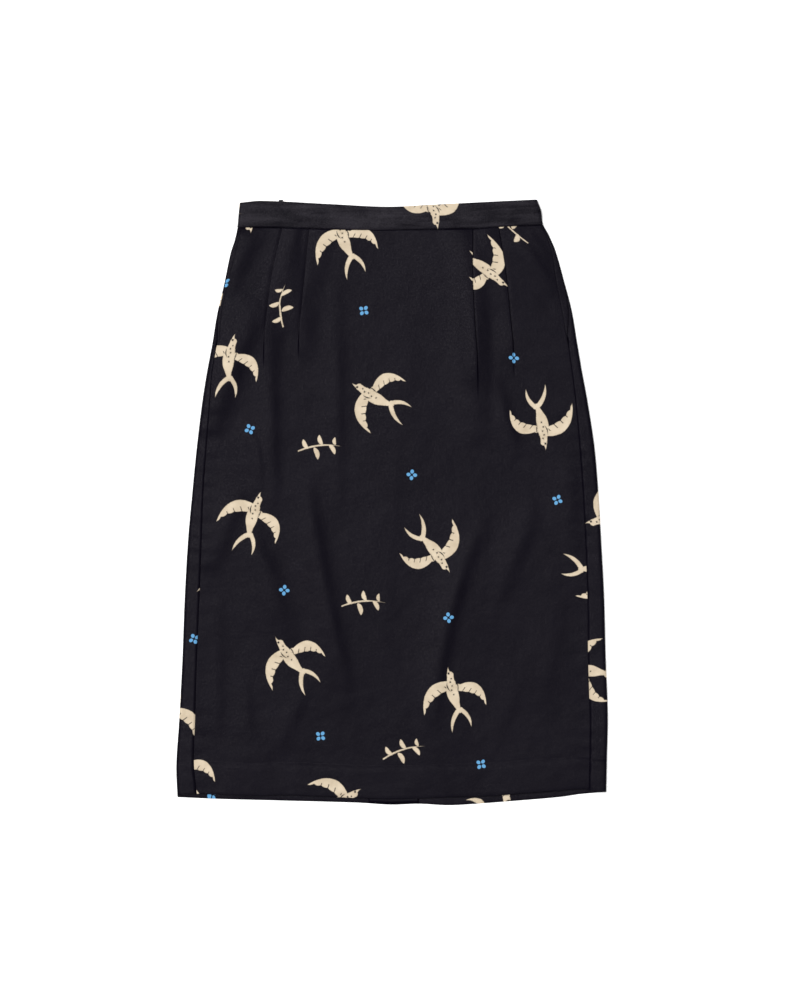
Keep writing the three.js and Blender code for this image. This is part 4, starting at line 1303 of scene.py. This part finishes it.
def stitch_tree():
    """Geometry Nodes: a rounded stitch along a line, at each pitch, made real and given its thread."""
    tree = bpy.data.node_groups.new("stitch_line", "GeometryNodeTree")
    sockets = tree.interface
    sockets.new_socket("Geometry", in_out="INPUT", socket_type="NodeSocketGeometry")
    inputs = {}
    for name, size in STITCH_SIZES.items():
        socket = sockets.new_socket(name, in_out="INPUT", socket_type="NodeSocketFloat")
        socket.default_value = size * MM
        inputs[name] = socket.identifier
    sockets.new_socket("Geometry", in_out="OUTPUT", socket_type="NodeSocketGeometry")
    given = tree.nodes.new("NodeGroupInput")
    result = tree.nodes.new("NodeGroupOutput")
    line = tree.nodes.new("GeometryNodeMeshToCurve")
    points = tree.nodes.new("GeometryNodeCurveToPoints")
    points.mode = "LENGTH"
    bead = tree.nodes.new("GeometryNodeMeshUVSphere")
    bead.inputs["Segments"].default_value = STITCH_SEGMENTS
    bead.inputs["Rings"].default_value = STITCH_RINGS
    bead.inputs["Radius"].default_value = 1.0
    stretch = tree.nodes.new("ShaderNodeCombineXYZ")
    half = tree.nodes.new("ShaderNodeMath")
    half.operation = "MULTIPLY"
    half.inputs[1].default_value = 0.5
    stitch = tree.nodes.new("GeometryNodeTransform")
    laid = tree.nodes.new("GeometryNodeInstanceOnPoints")
    real = tree.nodes.new("GeometryNodeRealizeInstances")
    dressed = tree.nodes.new("GeometryNodeSetMaterial")
    dressed.inputs["Material"].default_value = sewing_thread
    for source, output, target, entry in (
        (given, "Geometry", line, "Mesh"),
        (line, "Curve", points, "Curve"),
        (given, "Pitch", points, "Length"),
        (given, "Stitch length", half, 0),
        (given, "Thread radius", stretch, 0),
        (given, "Thread radius", stretch, 1),
        (half, 0, stretch, 2),
        (bead, "Mesh", stitch, "Geometry"),
        (stretch, 0, stitch, "Scale"),
        (points, "Points", laid, "Points"),
        (points, "Rotation", laid, "Rotation"),
        (stitch, "Geometry", laid, "Instance"),
        (laid, "Instances", real, "Geometry"),
        (real, "Geometry", dressed, "Geometry"),
        (dressed, "Geometry", result, "Geometry"),
    ):
        tree.links.new(source.outputs[output], target.inputs[entry])
    return tree, inputs


stitching, stitch_inputs = stitch_tree()


def sew(name, lines):
    """Stitches along each line of points, in millimetres, as one mesh."""
    points, edges = [], []
    for line in lines:
        first = len(points)
        points += [tuple(point) for point in np.asarray(line) * MM]
        edges += [(first + n, first + n + 1) for n in range(len(line) - 1)]
    mesh = bpy.data.meshes.new(f"{name}_line")
    mesh.from_pydata(points, edges, [])
    path = put_in_scene(f"{name}_line", mesh)
    modifier = path.modifiers.new("stitches", "NODES")
    modifier.node_group = stitching
    for size_name, size in STITCH_SIZES.items():
        modifier[stitch_inputs[size_name]] = size * MM
    graph = bpy.context.evaluated_depsgraph_get()
    made = bpy.data.meshes.new_from_object(path.evaluated_get(graph))
    made.name = name
    piece = put_in_scene(name, made)
    bpy.data.objects.remove(path)
    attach(piece, "root")


hem_rows = len(front_cloth) - len(panel_rows(FRONT_SPACING))
face_rows = front_cloth[hem_rows:]


def along_mouth(name):
    """A line on the front's face along a pocket's topstitching, from the mouth's foot to the band."""
    side = SIDES[name]
    line = []
    for y, row in zip(panel_rows(FRONT_SPACING), face_rows):
        if y < MOUTH_BOTTOM - MOUTH_LINE_START:
            continue
        near = (row if name == "left" else row[::-1])[: EDGE_STEPS + len(STITCH_COLUMNS) + SIDE_STEPS]
        inside = side["reach"](y) - np.abs(near[:, 0])
        place = [np.interp(side["stitch"](y), inside, near[:, axis]) for axis in range(3)]
        line.append((place[0], place[1], place[2] + CLOTH / 2))
    return line


def straight_lines(places, bottom, top, height):
    """Lines up the skirt at each place across it."""
    run = np.linspace(bottom, top, LINE_POINTS)
    return [np.c_[run * 0 + x, run, run * 0 + height] for x in places]


for side_name in SIDES:
    sew(f"mouth_stitching_{side_name}", [along_mouth(side_name)])
tape_edges = (CENTRE_BACK - TAPE_SEWN, CENTRE_BACK + TAPE_SEWN)
tape_lines = straight_lines(
    tape_edges, TAPE_BOTTOM + LINE_MARGIN, TAPE_BAND_FOOT - LINE_MARGIN, OVER_BACK + TAPE_CLOTH / 2
)
sew("tape_stitching", tape_lines)
strip_edges = (VENT_LEFT + STRIP_SEWN, VENT_RIGHT - STRIP_SEWN)
strip_lines = straight_lines(
    strip_edges, HEM_TOP + STRIP_LINE_START, VENT_TOP - LINE_MARGIN, OVER_BACK + STRIP_CLOTH / 2
)
sew("underlap_stitching", strip_lines)

# Floor and light
# A plain pale floor. The main soft light hangs high at the upper left, with weaker ones overhead, low at
# the left and at the right, and the surround is dim and even.
FLOOR_SIZE = 12.0
FLOOR_DROP = 0.0003
FLOOR_TONES = ((0.93, 0.93, 0.93, 1), (0.97, 0.97, 0.97, 1))
FLOOR_GLOW = 0.35
SURROUND = 0.06
WHITE = (1, 1, 1, 1)


def area_light(name, place, size, power):
    """A round soft light that faces the middle of the skirt."""
    light = bpy.data.lights.new(name, "AREA")
    light.shape = "DISK"
    light.size = size
    light.energy = power
    lamp = put_in_scene(name, light)
    lamp.location = place
    x, y, z = place
    lamp.rotation_euler = (math.atan2(math.hypot(x, y), z), 0, math.atan2(x, -y))


area_light("left_light", (-2.7, 1.4, 8.3), 1.9, 620)
area_light("overhead", (0.9, -0.6, 9.4), 2.4, 240)
area_light("low_left_light", (-7.0, 3.2, 5.6), 3.0, 70)
area_light("right_light", (5.6, -1.2, 6.6), 3.4, 80)

world = bpy.data.worlds.new("surround")
world.use_nodes = True
world.node_tree.nodes["Background"].inputs["Color"].default_value = WHITE
world.node_tree.nodes["Background"].inputs["Strength"].default_value = SURROUND
bpy.context.scene.world = world
bpy.context.scene.view_settings.view_transform = "Standard"

half_floor = FLOOR_SIZE / 2
floor_corners = [
    (x * half_floor, y * half_floor, -FLOOR_DROP) for x, y in ((-1, -1), (1, -1), (1, 1), (-1, 1))
]
floor_mesh = bpy.data.meshes.new("floor")
floor_mesh.from_pydata(floor_corners, [], [(0, 1, 2, 3)])
paper = Shader("pale_floor")
paper_grain = paper.noise(paper.place("Object")[1], 300, 2.0)
floor_mesh.materials.append(
    paper.finish(
        Base_Color=paper.mix(paper_grain, *FLOOR_TONES),
        Roughness=0.9,
        Specular_IOR_Level=0.1,
        Emission_Color=WHITE,
        Emission_Strength=FLOOR_GLOW,
    )
)
floor = put_in_scene("floor", floor_mesh)
